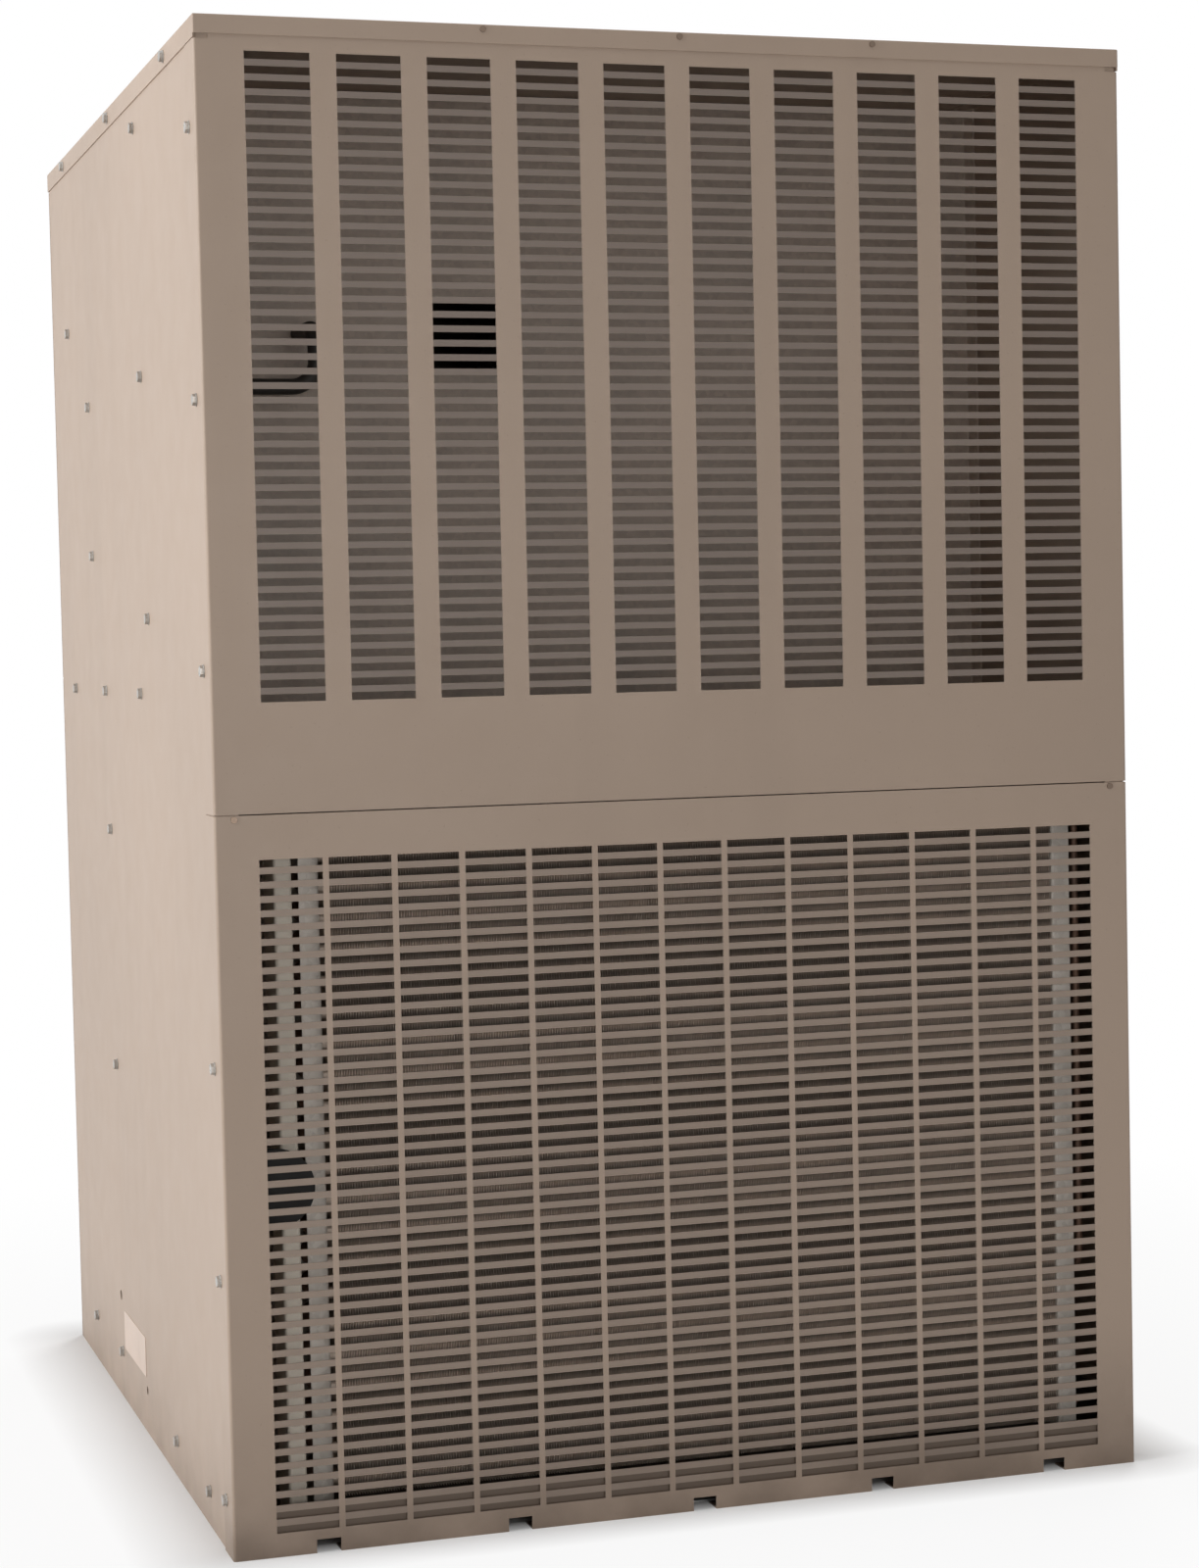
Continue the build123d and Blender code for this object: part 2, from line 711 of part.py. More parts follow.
def compressor():
    """A domed shell on a three-lobed foot plate, its terminal cover, grommets and accumulator."""
    foot_bottom = floor_top + grommet_height
    base = foot_bottom + foot_plate
    shell = rod((compressor_x, compressor_y, base), (0, 0, 1), compressor_radius, compressor_top - base)
    shell = fillet(shell.edges().filter_by(GeomType.CIRCLE).group_by(Axis.Z)[-1], compressor_dome)
    shell = shell + rod((compressor_x, compressor_y, foot_bottom), (0, 0, 1), compressor_radius * 0.9, foot_plate)
    cover_top = compressor_top - terminal_cover_drop
    half = terminal_cover_width / 2
    shell = shell + block(compressor_x - half, compressor_x + half,
                          compressor_y - compressor_radius - terminal_cover_reach, compressor_y,
                          cover_top - terminal_cover_width, cover_top)
    grommets = []
    lobe = grommet_radius + foot_margin
    for index in range(3):
        turn = tau * (index / 3 + 1 / 12)
        x = compressor_x + foot_circle * cos(turn)
        y = compressor_y + foot_circle * sin(turn)
        spoke = extrude(Plane.XY.offset(foot_bottom) * Pos(compressor_x, compressor_y)
                        * Rot(0, 0, index * 120 + 30) * Pos(foot_circle / 2, 0)
                        * Rectangle(foot_circle, 2 * lobe), amount=foot_plate)
        shell = shell + spoke + rod((x, y, foot_bottom), (0, 0, 1), lobe, foot_plate)
        grommets.append(rod((x, y, floor_top), (0, 0, 1), grommet_radius, grommet_height))
    strap_z = (accumulator_bottom + accumulator_top) / 2
    hold = Vector(accumulator_x - compressor_x, accumulator_y - compressor_y, 0)
    reach = hold.length - accumulator_radius
    strap = rod((compressor_x, compressor_y, strap_z), hold, 2 * suction_line_radius, reach + accumulator_radius / 4)
    tank_space = rod((accumulator_x, accumulator_y, accumulator_bottom), (0, 0, 1),
                     accumulator_radius, accumulator_top - accumulator_bottom)
    tank = fillet(tank_space.edges().filter_by(GeomType.CIRCLE), accumulator_radius * 0.4)
    save("compressor", shell + (strap - tank_space), tank)
    save("compressor_grommets", *grommets)


def hot_gas_line():
    """From the compressor up and over to the right wall, forwards, then up beside the coil to its last tube."""
    top = condenser_bottom + tube_pitch * condenser_tubes
    inlet_y = condenser_front + 1.5 * row_pitch
    plate = condenser_right + fin_thickness + end_plate
    high = compressor_top + gas_line_rise
    points = [(compressor_x, compressor_y, compressor_top), (compressor_x, compressor_y, high),
              (gas_line_x, compressor_y, high), (gas_line_x, compressor_y, gas_line_low),
              (gas_line_x, gas_line_y, gas_line_low), (gas_line_x, gas_line_y, top),
              (gas_line_x, inlet_y, top), (plate, inlet_y, top)]
    save("hot_gas_line", pipe(points, [25, 30, 30, 20, 10, 8], gas_line_radius))


def liquid_line():
    """From the coil's lowest tube to the drier, on to the expansion valve, and into the evaporator."""
    plate = condenser_right + fin_thickness + end_plate
    start_y = condenser_front + row_pitch / 2
    evaporator_plate = evaporator_right + fin_thickness + end_plate
    inlet_y = evaporator_front + row_pitch / 2
    drier_end = drier_start + drier_length
    first = pipe([(plate, start_y, liquid_z), (gas_line_x, start_y, liquid_z),
                  (gas_line_x, drier_start, liquid_z)], [12], liquid_line_radius)
    second = pipe([(gas_line_x, drier_end, liquid_z), (gas_line_x, valve_y, liquid_z),
                   (gas_line_x, valve_y, valve_z), (valve_x + valve_radius, valve_y, valve_z)],
                  [18, 18], liquid_line_radius)
    third = pipe([(valve_x, valve_y + valve_radius, valve_z), (valve_x, inlet_y, valve_z),
                  (evaporator_plate, inlet_y, valve_z)], [18], liquid_line_radius)
    save("liquid_line", first, second, third)
    drier = rod((gas_line_x, drier_start, liquid_z), (0, 1, 0), drier_radius, drier_length)
    save("filter_drier", chamfer(drier.edges().filter_by(GeomType.CIRCLE), drier_radius / 2))
    body = block(valve_x - valve_radius, valve_x + valve_radius, valve_y - valve_radius, valve_y + valve_radius,
                 valve_z - valve_radius, valve_z + valve_radius)
    head = rod((valve_x, valve_y, valve_z + valve_radius), (0, 0, 1), valve_radius * 0.7, valve_radius)
    head = head + rod((valve_x, valve_y, valve_z + 2 * valve_radius), (0, 0, 1), 1.3 * valve_radius, valve_radius * 0.6)
    save("expansion_valve", body + head)


def suction_line():
    """From the evaporator's last tube, through the lower partition, down into the accumulator."""
    plate = evaporator_right + fin_thickness + end_plate
    start_y = evaporator_front + 1.5 * row_pitch
    points = [(plate, start_y, suction_z), (suction_x, start_y, suction_z),
              (suction_x, accumulator_y, suction_z), (accumulator_x, accumulator_y, suction_z),
              (accumulator_x, accumulator_y, accumulator_top)]
    save("suction_line", pipe(points, [25, 40, 40], suction_line_radius))


def evaporator():
    """The indoor coil with wide rear flanges that close the gap to the cabinet's sides."""
    foot = drain_pan_bottom + sheet
    top = evaporator_top + plate_overhang
    save("evaporator_fins", fin_pack(evaporator_left, evaporator_right, evaporator_front,
                                     evaporator_bottom, evaporator_tubes))
    left, right = end_plates(evaporator_left, evaporator_right, evaporator_front, foot, top)
    back = evaporator_front + coil_depth
    left = left + block(inner_left, evaporator_left - end_gap - end_flange, back - end_plate, back,
                        evaporator_bottom, top)
    right = right + block(evaporator_right + end_flange, inner_right, back - end_plate, back,
                          evaporator_bottom, top)
    save("evaporator_end_plates", left, right)
    save("evaporator_return_bends", *return_bends(evaporator_left, evaporator_right, evaporator_front,
                                                  evaporator_bottom, evaporator_tubes))


def drain_pan():
    """The tray under the evaporator with its drain stub, and the stand that carries it."""
    y0 = evaporator_front - drain_pan_margin
    y1 = evaporator_front + coil_depth + drain_pan_margin
    top = drain_pan_bottom + drain_pan_wall
    center_z = drain_z
    pan = block(drain_pan_left, drain_pan_right, y0, y1, drain_pan_bottom, top)
    pan = pan - block(drain_pan_left + sheet, drain_pan_right - sheet, y0 + sheet, y1 - sheet,
                      drain_pan_bottom + sheet, top)
    length = depth + drain_reach - y1
    pan = pan + rod((drain_x, y1, center_z), (0, 1, 0), drain_shoulder, length - drain_spigot)
    pan = pan + rod((drain_x, y1, center_z), (0, 1, 0), drain_radius, length)
    pan = pan - rod((drain_x, y1 - 2 * sheet, center_z), (0, 1, 0), drain_bore, length + 2 * sheet)
    save("drain_pan", pan)
    stand = block(drain_pan_left, drain_pan_right, y0, y1, floor_top, drain_pan_bottom)
    stand = stand - block(drain_pan_left, drain_pan_right, y0 + sheet, y1 - sheet, floor_top, drain_pan_bottom - sheet)
    save("drain_pan_stand", stand)


def return_air_frame():
    """The lower rear wall with the return-air opening and the drain stub's hole."""
    low = filter_bottom + (filter_size - return_opening) / 2
    frame = block(sheet, width - sheet, rear_face, depth, 0, deck_flange_top)
    frame = frame - block(return_x - return_opening / 2, return_x + return_opening / 2,
                          rear_face, depth, low, low + return_opening)
    frame = frame - rod((drain_x, rear_face - 1, drain_z), (0, 1, 0),
                        drain_shoulder + line_clearance, sheet + 2)
    save("return_air_frame", frame)


def filter_rack():
    """A channel on three sides of the return-air opening, open at the top."""
    half = filter_size / 2 + filter_play
    left, right = return_x - half, return_x + half
    bottom = filter_bottom - lever_gap
    top = filter_bottom + filter_size - filter_border
    rack = block(left - sheet, right + sheet, depth, depth + rack_depth, bottom - sheet, top)
    rack = rack - block(left, right, depth, depth + rack_depth - sheet, bottom, top)
    rack = rack - block(left + rack_lip, right - rack_lip, depth, depth + rack_depth, bottom + rack_lip, top)
    save("filter_rack", rack)


def filter_pieces():
    """The filter's frame with its pull tab, and the pleated sheet inside it."""
    half = filter_size / 2
    y0 = depth + filter_seat
    y1 = y0 + filter_thickness
    top = filter_bottom + filter_size
    frame = block(return_x - half, return_x + half, y0, y1, filter_bottom, top)
    frame = frame - block(return_x - half + filter_border, return_x + half - filter_border,
                          y0, y1, filter_bottom + filter_border, top - filter_border)
    tab_y = (y0 + y1) / 2
    frame = frame + block(return_x - filter_tab_width / 2, return_x + filter_tab_width / 2,
                          tab_y - sheet / 2, tab_y + sheet / 2, top, top + filter_tab)
    save("filter_frame", frame)
    opening = filter_size - 2 * filter_border
    count = int(opening / pleat_pitch)
    pitch = opening / count
    crest = filter_thickness / 2 - pleat_sheet
    left = return_x - opening / 2
    near, far = [], []
    for index in range(2 * count + 1):
        sign = 1 if index % 2 else -1
        near.append((left + index * pitch / 2, tab_y + sign * crest - pleat_sheet / 2, filter_bottom + filter_border))
        far.append((left + index * pitch / 2, tab_y + sign * crest + pleat_sheet / 2, filter_bottom + filter_border))
    face = Face(Wire.make_polygon(near + far[::-1]))
    save("filter_media", Solid.extrude(face, Vector(0, 0, opening)))


def scroll_face(inset, x):
    """The blower housing's outline: three quarter arcs of growing radius, with an outlet at the top."""
    r1 = scroll_radius - inset
    r2, r3 = r1 + scroll_step, r1 + 2 * scroll_step
    y, z, s = blower_y, blower_z, scroll_step
    corner = cos(radians(45))
    points = {
        "top": (y - inset, z + (r1 ** 2 - inset ** 2) ** 0.5),
        "right": (y + r1, z),
        "bottom": (y - s, z - r2),
        "left": (y - s - r3, z + s),
    }
    quarter_1 = (y + r1 * corner, z + r1 * corner)
    quarter_2 = (y - s + r2 * corner, z - r2 * corner)
    quarter_3 = (y - s - r3 * corner, z + s - r3 * corner)
    at = {key: Vector(x, *value) for key, value in points.items()}
    outlet_left = Vector(x, y - s - r3, under_cap)
    outlet_right = Vector(x, y - inset, under_cap)
    edges = [
        Edge.make_three_point_arc(at["top"], Vector(x, *quarter_1), at["right"]),
        Edge.make_three_point_arc(at["right"], Vector(x, *quarter_2), at["bottom"]),
        Edge.make_three_point_arc(at["bottom"], Vector(x, *quarter_3), at["left"]),
        Edge.make_line(at["left"], outlet_left),
        Edge.make_line(outlet_left, outlet_right),
        Edge.make_line(outlet_right, at["top"]),
    ]
    return Face(Wire(edges))


def blower_housing():
    """Two side sheets with round inlets, the scroll between them in four bent strips, and an angle foot a side."""
    x0, x1 = blower_x - blower_width / 2, blower_x + blower_width / 2
    inner_width = blower_width - 2 * sheet
    inlets = rod((x0, blower_y, blower_z), (1, 0, 0), inlet_radius, blower_width)
    sides = [Solid.extrude(scroll_face(0, x), Vector(sheet, 0, 0)) - inlets for x in (x0, x1 - sheet)]
    scroll = Solid.extrude(scroll_face(0, x0 + sheet), Vector(inner_width, 0, 0))
    scroll = scroll - Solid.extrude(scroll_face(sheet, x0 + sheet), Vector(inner_width, 0, 0))
    foot_y = blower_y - scroll_step
    reach = scroll_radius + 3 * scroll_step
    strips = []
    for y0, y1 in ((foot_y - reach, foot_y), (foot_y, foot_y + reach)):
        for z0, z1 in ((blower_z - reach, blower_z), (blower_z, under_cap)):
            strips.append(scroll & block(x0, x1, y0, y1, z0, z1))
    feet = []
    for x, way in ((x0, -1), (x1, 1)):
        upright = sorted((x, x + way * sheet))
        flat = sorted((x, x + way * blower_foot_reach))
        feet.append(block(*upright, foot_y - blower_foot_reach, foot_y + blower_foot_reach,
                          deck_top, blower_z - inlet_radius - sheet)
                    + block(*flat, foot_y - blower_foot_reach, foot_y + blower_foot_reach,
                            deck_top, deck_top + sheet))
    save("blower_housing", *sides, *strips, *feet)


def blower_wheel():
    """A squirrel-cage wheel: forward-curved blades between two rings, slotted over a middle disc with a hub."""
    start = blower_x - wheel_width / 2
    reach = wheel_radius - wheel_inner_radius
    arc = RadiusArc((wheel_inner_radius + wheel_ring / 2, 0), (wheel_radius - wheel_ring / 2, reach / 3), reach)
    blade = trace(arc, wheel_blade_thickness)
    blades = [Rot(0, 0, index * 360 / wheel_blades) * blade for index in range(wheel_blades)]
    across = Plane(origin=(start + wheel_ring, blower_y, blower_z), x_dir=(0, 1, 0), z_dir=(1, 0, 0))
    disc_start = blower_x - wheel_ring / 2
    slot = rod((disc_start, blower_y, blower_z), (1, 0, 0), wheel_disc_radius + wheel_slot_play, wheel_ring)
    cage = [extrude(across * blade, amount=wheel_width - 2 * wheel_ring) - slot for blade in blades]
    rings = [ring((x, blower_y, blower_z), (1, 0, 0), wheel_radius, wheel_inner_radius, wheel_ring)
             for x in (start, start + wheel_width - wheel_ring)]
    hub_start = blower_x - wheel_hub_length / 2
    disc = rod((disc_start, blower_y, blower_z), (1, 0, 0), wheel_disc_radius, wheel_ring)
    disc = disc + rod((hub_start, blower_y, blower_z), (1, 0, 0), wheel_hub_radius, wheel_hub_length)
    disc = disc - rod((hub_start, blower_y, blower_z), (1, 0, 0),
                      shaft_radius + running_clearance, wheel_hub_length)
    save("blower_wheel", disc, *rings, *cage)
    motor_start = blower_x + blower_motor_offset
    end = motor_start + motor_bore_depth - running_clearance
    save("blower_shaft", rod((hub_start, blower_y, blower_z), (1, 0, 0), shaft_radius, end - hub_start))


def blower_motor():
    """The blower's motor in the right-hand inlet, and the band and arms that hang it on the housing."""
    start = (blower_x + blower_motor_offset, blower_y, blower_z)
    motor = rod(start, (1, 0, 0), blower_motor_radius, blower_motor_length)
    motor = fillet(motor.edges().filter_by(GeomType.CIRCLE), 4 * sheet)
    motor = motor - rod(start, (1, 0, 0), shaft_radius + running_clearance, motor_bore_depth)
    save("blower_motor", motor)
    side = blower_x + blower_width / 2
    mount = ring((side, blower_y, blower_z), (1, 0, 0), blower_motor_radius + band_thickness,
                 blower_motor_radius, band_width)
    arm_end = inlet_radius + 1.2 * band_width
    for index in range(3):
        arm = block(side, side + 3 * sheet, -band_width / 3, band_width / 3,
                    blower_motor_radius + band_thickness / 2, arm_end)
        arm = Pos(0, blower_y, blower_z) * Rot(index * 120, 0, 0) * arm
        mount = mount + arm
    save("blower_motor_mount", mount)


def heater():
    """The electric heater in the blower's outlet: a frame and its hairpin elements."""
    x0, x1, y0, y1 = duct
    top = heater_bottom + heater_height
    frame = block(x0, x1, y0, y1, heater_bottom, top)
    frame = frame - block(x0 + sheet, x1 - sheet, y0 + sheet, y1 - sheet, heater_bottom, top)
    save("heater_frame", frame)
    elements = []
    low, high = heater_bottom + heater_height / 5, top - heater_height / 5
    turn_x = x1 - sheet - 3 * heater_rod_radius
    for index in range(heater_count):
        y = y0 + (index + 0.5) * (y1 - y0) / heater_count
        points = [(x0 + sheet, y, low), (turn_x, y, low), (turn_x, y, high), (x0 + sheet, y, high)]
        elements.append(pipe(points, (high - low) * 0.45, heater_rod_radius))
    save("heater_elements", *elements)


def supply_collar():
    """The duct collar on the cap, flanged outwards at its foot."""
    x0, x1, y0, y1 = duct
    collar = block(x0 - sheet, x1 + sheet, y0 - sheet, y1 + sheet, height, height + collar_height)
    collar = collar + block(x0 - collar_flange, x1 + collar_flange, y0 - collar_flange, y1 + collar_flange,
                            height, height + sheet)
    save("supply_collar", collar - block(x0, x1, y0, y1, height, height + collar_height))


def control_box():
    """The tray on the left wall that holds the controls, and its cover."""
    x0, x1 = inner_left, inner_left + box_depth
    box = block(x0, x1, box_front, box_rear, box_bottom, box_top)
    box = box - block(x0 + sheet, x1 - sheet, box_front + sheet, box_rear, box_bottom + sheet, box_top - sheet)
    save("control_box", box)
    cover = block(x0, x1, box_rear, box_rear + sheet, box_bottom, box_top)
    slot = lever_width / 2 + lever_gap
    cover = cover - block(breaker_x - slot, breaker_x + slot, box_rear, box_rear + sheet,
                          breaker_z - lever_length, breaker_z + lever_length)
    bush = ring((button_x, box_rear - 3 * button_travel, button_z), (0, 1, 0), 2 * button_radius,
                button_radius + lever_gap, 3 * button_travel + sheet)
    cover = cover - rod((button_x, box_rear, button_z), (0, 1, 0), button_radius + lever_gap, sheet)
    save("control_box_cover", cover + bush)


def contactor():
    """The contactor on the box's back wall, with the plunger that its coil pulls in."""
    x, y, z = inner_left + box_depth / 4, box_front + sheet, box_bottom + contactor_rise
    front = y + contactor_depth
    half, rise = contactor_width / 2, contactor_height / 2
    body = block(x - half, x + half, y, front, z - rise, z + rise)
    wide, tall = plunger_width / 2, plunger_height / 2
    body = body - block(x - wide, x + wide, front - plunger_well, front, z - tall, z + tall)
    for low in (z - rise + terminal_inset, z + rise - terminal_inset - terminal_height):
        for shift in (-terminal_pitch, 0, terminal_pitch):
            left = x + shift - terminal_width / 2
            body = body - block(left, left + terminal_width, front - terminal_depth, front,
                                low, low + terminal_height)
    save("contactor", body)
    gap = lever_gap
    save("contactor_plunger", block(x - wide + gap, x + wide - gap, front - plunger_well + contactor_travel + gap,
                                    front - plunger_inset, z - tall + gap, z + tall - gap))


def other_controls():
    """The run capacitor, the transformer and the pressure switch behind the cover's bush."""
    y = box_front + sheet
    x = inner_left + box_depth - row_from_right
    low, high = box_bottom + sheet, box_bottom + sheet + capacitor_height
    middle = y + capacitor_wall_gap + capacitor_thickness / 2
    capacitor = extrude(Plane.XY.offset(low) * Pos(x, middle) * SlotOverall(capacitor_width, capacitor_thickness),
                        amount=capacitor_height)
    for shift in (-stud_pitch / 2, stud_pitch / 2):
        capacitor = capacitor + rod((x + shift, middle, high), (0, 0, 1), stud_radius, stud_height)
    save("run_capacitor", capacitor)
    z = box_top - transformer_drop
    layers = [block(x - wide / 2, x + wide / 2, y, y + deep, z - tall / 2, z + tall / 2)
              for wide, deep, tall in (transformer_plate, transformer_core, transformer_coil)]
    save("transformer", layers[0] + layers[1] + layers[2])
    half = switch_size / 2
    switch = block(button_x - half, button_x + half, box_rear - switch_depth, box_rear - 3 * button_travel,
                   button_z - half, button_z + half)
    hollow = rod((button_x, box_rear - 12 * button_travel, button_z), (0, 1, 0),
                 button_radius + lever_gap, 12 * button_travel)
    save("pressure_switch", switch - hollow)


def breaker():
    """The circuit breaker behind the cover, and its lever."""
    front, back = box_rear - breaker_depth, box_rear
    body = block(breaker_x - breaker_width / 2, breaker_x + breaker_width / 2, front, back,
                 breaker_z - breaker_height / 2, breaker_z + breaker_height / 2)
    pivot_y = back - lever_radius
    slot = lever_width / 2 + lever_gap
    recess = lever_radius + lever_gap
    body = body - rod((breaker_x - slot, pivot_y, breaker_z), (1, 0, 0), recess, 2 * slot)
    body = body - block(breaker_x - slot, breaker_x + slot, pivot_y, back, breaker_z - recess, breaker_z + recess)
    save("breaker", body)
    lever = rod((breaker_x - lever_width / 2, pivot_y, breaker_z), (1, 0, 0), lever_radius, lever_width)
    grip = block(breaker_x - lever_width / 2, breaker_x + lever_width / 2, pivot_y, pivot_y + lever_length,
                 breaker_z - lever_radius / 2, breaker_z + lever_radius / 2)
    axis = Axis((breaker_x, pivot_y, breaker_z), (1, 0, 0))
    save("breaker_lever", lever + grip.rotate(axis, lever_throw))


def reset_button():
    """The push button of the high-pressure cut-out, guided in the cover's bush."""
    start = box_rear - 2 * button_travel
    stem = rod((button_x, start, button_z), (0, 1, 0), button_radius, 5 * button_travel)
    save("reset_button", fillet(stem.edges().filter_by(GeomType.CIRCLE).group_by(Axis.Y)[-1], 1.0))


def access_panel():
    """The lift-off upper rear panel with its stiffening rim, and its handle."""
    low, high = deck_flange_top + joint_gap, height - cap_lip - joint_gap
    plate = block(sheet, width - sheet, rear_face, depth, low, high)
    x0, x1 = stiffener_inset, width - stiffener_inset
    z0, z1 = low + stiffener_inset, high - stiffener_inset
    rim = block(x0, x1, rear_face - stiffener_depth, rear_face, z0, z1)
    rim = rim - block(x0 + sheet, x1 - sheet, rear_face - stiffener_depth, rear_face, z0 + sheet, z1 - sheet)
    save("access_panel", plate + rim)
    z = (low + high) / 2
    half = access_handle_length / 2
    reach = depth + access_handle_reach
    points = [(access_handle_x, depth, z - half), (access_handle_x, reach, z - half),
              (access_handle_x, reach, z + half), (access_handle_x, depth, z + half)]
    save("access_panel_handle", pipe(points, 8.0, access_handle_radius))


def conduit():
    """The black wiring conduit from the partition, down the left wall, to the fan's motor."""
    y = fan_motor_y + fan_motor_length / 2 - band_width
    end = fan_height + fan_motor_radius
    low = (end + deck_height) / 2
    points = [(conduit_x, partition_y + sheet, conduit_z), (conduit_x, y, conduit_z),
              (conduit_x, y, conduit_z - conduit_drop), (conduit_wall_x, y, conduit_z - conduit_drop),
              (conduit_wall_x, y, low), (center_x, y, low), (center_x, y, end)]
    save("wiring_conduit", pipe(points, [22, 22, 22, 60, 60], conduit_radius))


def hex_screw():
    """One screw head, its washer face on the XY plane."""
    washer = Cylinder(washer_radius, washer_thickness, align=(Align.CENTER, Align.CENTER, Align.MIN))
    hexagon = Plane.XY.offset(washer_thickness) * RegularPolygon(hex_width / 2, 6, major_radius=False)
    return washer + extrude(hexagon, amount=hex_height)


def place_screws(screw, spots, normal):
    """Copies of a screw at a list of points, heads along the normal."""
    return [Plane(origin=spot, z_dir=normal).location * screw for spot in spots]


def cabinet_screws():
    """Every fixed screw of the cabinet."""
    screw = hex_screw()
    base = (Align.CENTER, Align.CENTER, Align.MIN)
    small = Cylinder(small_screw_radius, small_screw_height, align=base)
    screws = []
    for side in (0, 1):
        out = (1, 0, 0) if side else (-1, 0, 0)
        panel_x = width - sheet if side else sheet
        outer_x = width if side else 0
        screws += place_screws(screw, [(panel_x, y, z) for y, z in side_screw_places], out)
        screws += place_screws(screw, [(outer_x, return_screw_y, z) for z in return_screw_heights], out)
        screws += place_screws(screw, [(outer_x, y, height - cap_lip / 2) for y in cap_screw_places], out)
    front = [(center_x + way * (center_x - seam_screw_inset), sheet, seam_height - small_screw_radius - joint_gap)
             for way in (-1, 1)]
    front += [(x, 0, height - small_screw_radius - sheet) for x in lip_screw_places]
    screws += place_screws(small, front, (0, -1, 0))
    rear = [(center_x + way * (center_x - seam_screw_inset), depth, z) for way in (-1, 1) for z in rear_screw_heights]
    screws += place_screws(screw, rear, (0, 1, 0))
    save("cabinet_screws", *screws)
    captive = [(center_x + way * (center_x - seam_screw_inset), depth, z)
               for way in (-1, 1) for z in access_screw_heights]
    save("access_panel_screws", *place_screws(screw, captive, (0, 1, 0)))


base_pan()
base_rails()
side_panel("left_side_panel", -1, [overflow_hole, side_mark])
side_panel("right_side_panel", 1, [knockout])
top_cover()
louver_panel()
coil_grille_panel()
upper_partition()
vent_damper()
deck()
lower_partition()
condenser_coil()
coil_side_post()
coil_clamp_pad()
fan_shroud()
condenser_fan()
condenser_fan_motor()
compressor()
hot_gas_line()
liquid_line()
suction_line()
evaporator()
drain_pan()
return_air_frame()
filter_rack()
filter_pieces()
blower_housing()
blower_wheel()
blower_motor()
heater()
supply_collar()
control_box()
contactor()
other_controls()
breaker()
reset_button()
access_panel()
conduit()
cabinet_screws()
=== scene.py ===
"""The looks of the through-the-wall package unit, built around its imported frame, in metres."""

import bpy
import numpy as np
from mathutils import Matrix, Vector


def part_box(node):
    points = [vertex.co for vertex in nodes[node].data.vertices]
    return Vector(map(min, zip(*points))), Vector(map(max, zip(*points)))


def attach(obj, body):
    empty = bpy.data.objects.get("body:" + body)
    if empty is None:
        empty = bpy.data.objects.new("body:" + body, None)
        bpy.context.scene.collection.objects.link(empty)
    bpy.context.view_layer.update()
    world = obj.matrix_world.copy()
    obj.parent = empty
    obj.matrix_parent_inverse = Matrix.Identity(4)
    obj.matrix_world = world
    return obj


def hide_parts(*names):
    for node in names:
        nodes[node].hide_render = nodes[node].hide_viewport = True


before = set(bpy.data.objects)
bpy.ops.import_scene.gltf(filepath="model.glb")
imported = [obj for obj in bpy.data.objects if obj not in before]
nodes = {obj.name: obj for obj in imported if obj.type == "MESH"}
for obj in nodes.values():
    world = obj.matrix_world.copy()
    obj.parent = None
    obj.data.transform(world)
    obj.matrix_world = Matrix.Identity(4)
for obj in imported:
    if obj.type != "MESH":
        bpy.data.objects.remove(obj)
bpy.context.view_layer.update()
ROOT = "cabinet"

# The cabinet's own corners, from the cap, which has no screws standing proud of it
cap_low, cap_high = [np.array(corner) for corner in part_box("top_cover")]
LEFT, FRONT = cap_low[0], cap_low[1]
RIGHT, REAR, TOP = cap_high
SHEET = 0.0012

# Camera, placed from the cabinet's lower left front corner
CAMERA_OFFSET = (-0.438, -2.407, 0.735)
CAMERA_RIGHT = (0.9535, -0.3006, -0.0212)
CAMERA_UP = (0.0352, 0.0411, 0.9986)
CAMERA_FORWARD = (0.2993, 0.9529, -0.0497)
CAMERA_LENS = 71.03

# Upper louvres and lower grille, as pressed: counts, pitches, slot sizes and the first row's height
LOUVER_COLUMNS, LOUVER_ROWS = 10, 45
LOUVER_COLUMN_PITCH, LOUVER_ROW_PITCH = 0.0736, 0.01143
LOUVER_SLOT = (0.0523, 0.0062)
LOUVER_FIRST = TOP - 0.0305
GRILLE_COLUMNS, GRILLE_ROWS = 13, 48
GRILLE_COLUMN_PITCH, GRILLE_ROW_PITCH = 0.0561, 0.01136
GRILLE_SLOT = (0.0511, 0.0060)
SEAM_HEIGHT = 0.595
GRILLE_FIRST = SEAM_HEIGHT - 0.039

# Lips bent inwards from the louvre slots' heads
LIP_BEND, LIP_REACH, LIP_THICKNESS = 0.0022, 0.0022, 0.0009

# Coil fins as the real coil has them
FIN_PITCH, FIN_THICKNESS = 0.0022, 0.00025
TUBE_PITCH, TUBE_RADIUS, ROW_PITCH = 0.0254, 0.00476, 0.022
TUBE_SIDES = 12
FIN_RIPPLE, FIN_INSET = 0.0005, 0.0005
FIRST_FIN, LAST_FIN = 0.006, 0.001

# Bare plate on the left side, from the cabinet's front and floor
PLATE_Y, PLATE_Z, PLATE_THICKNESS = (0.430, 0.556), (0.052, 0.089), 0.0005
PLATE_CORNER = 0.0025

# Softened edge of the screw heads
SCREW_EDGE = 0.0004


def linear(red, green, blue):
    """The linear colour of an sRGB colour given in 0 to 255."""
    parts = np.array([red, green, blue]) / 255
    curve = ((parts + 0.055) / 1.055) ** 2.4
    return tuple(np.where(parts <= 0.04045, parts / 12.92, curve)) + (1.0,)


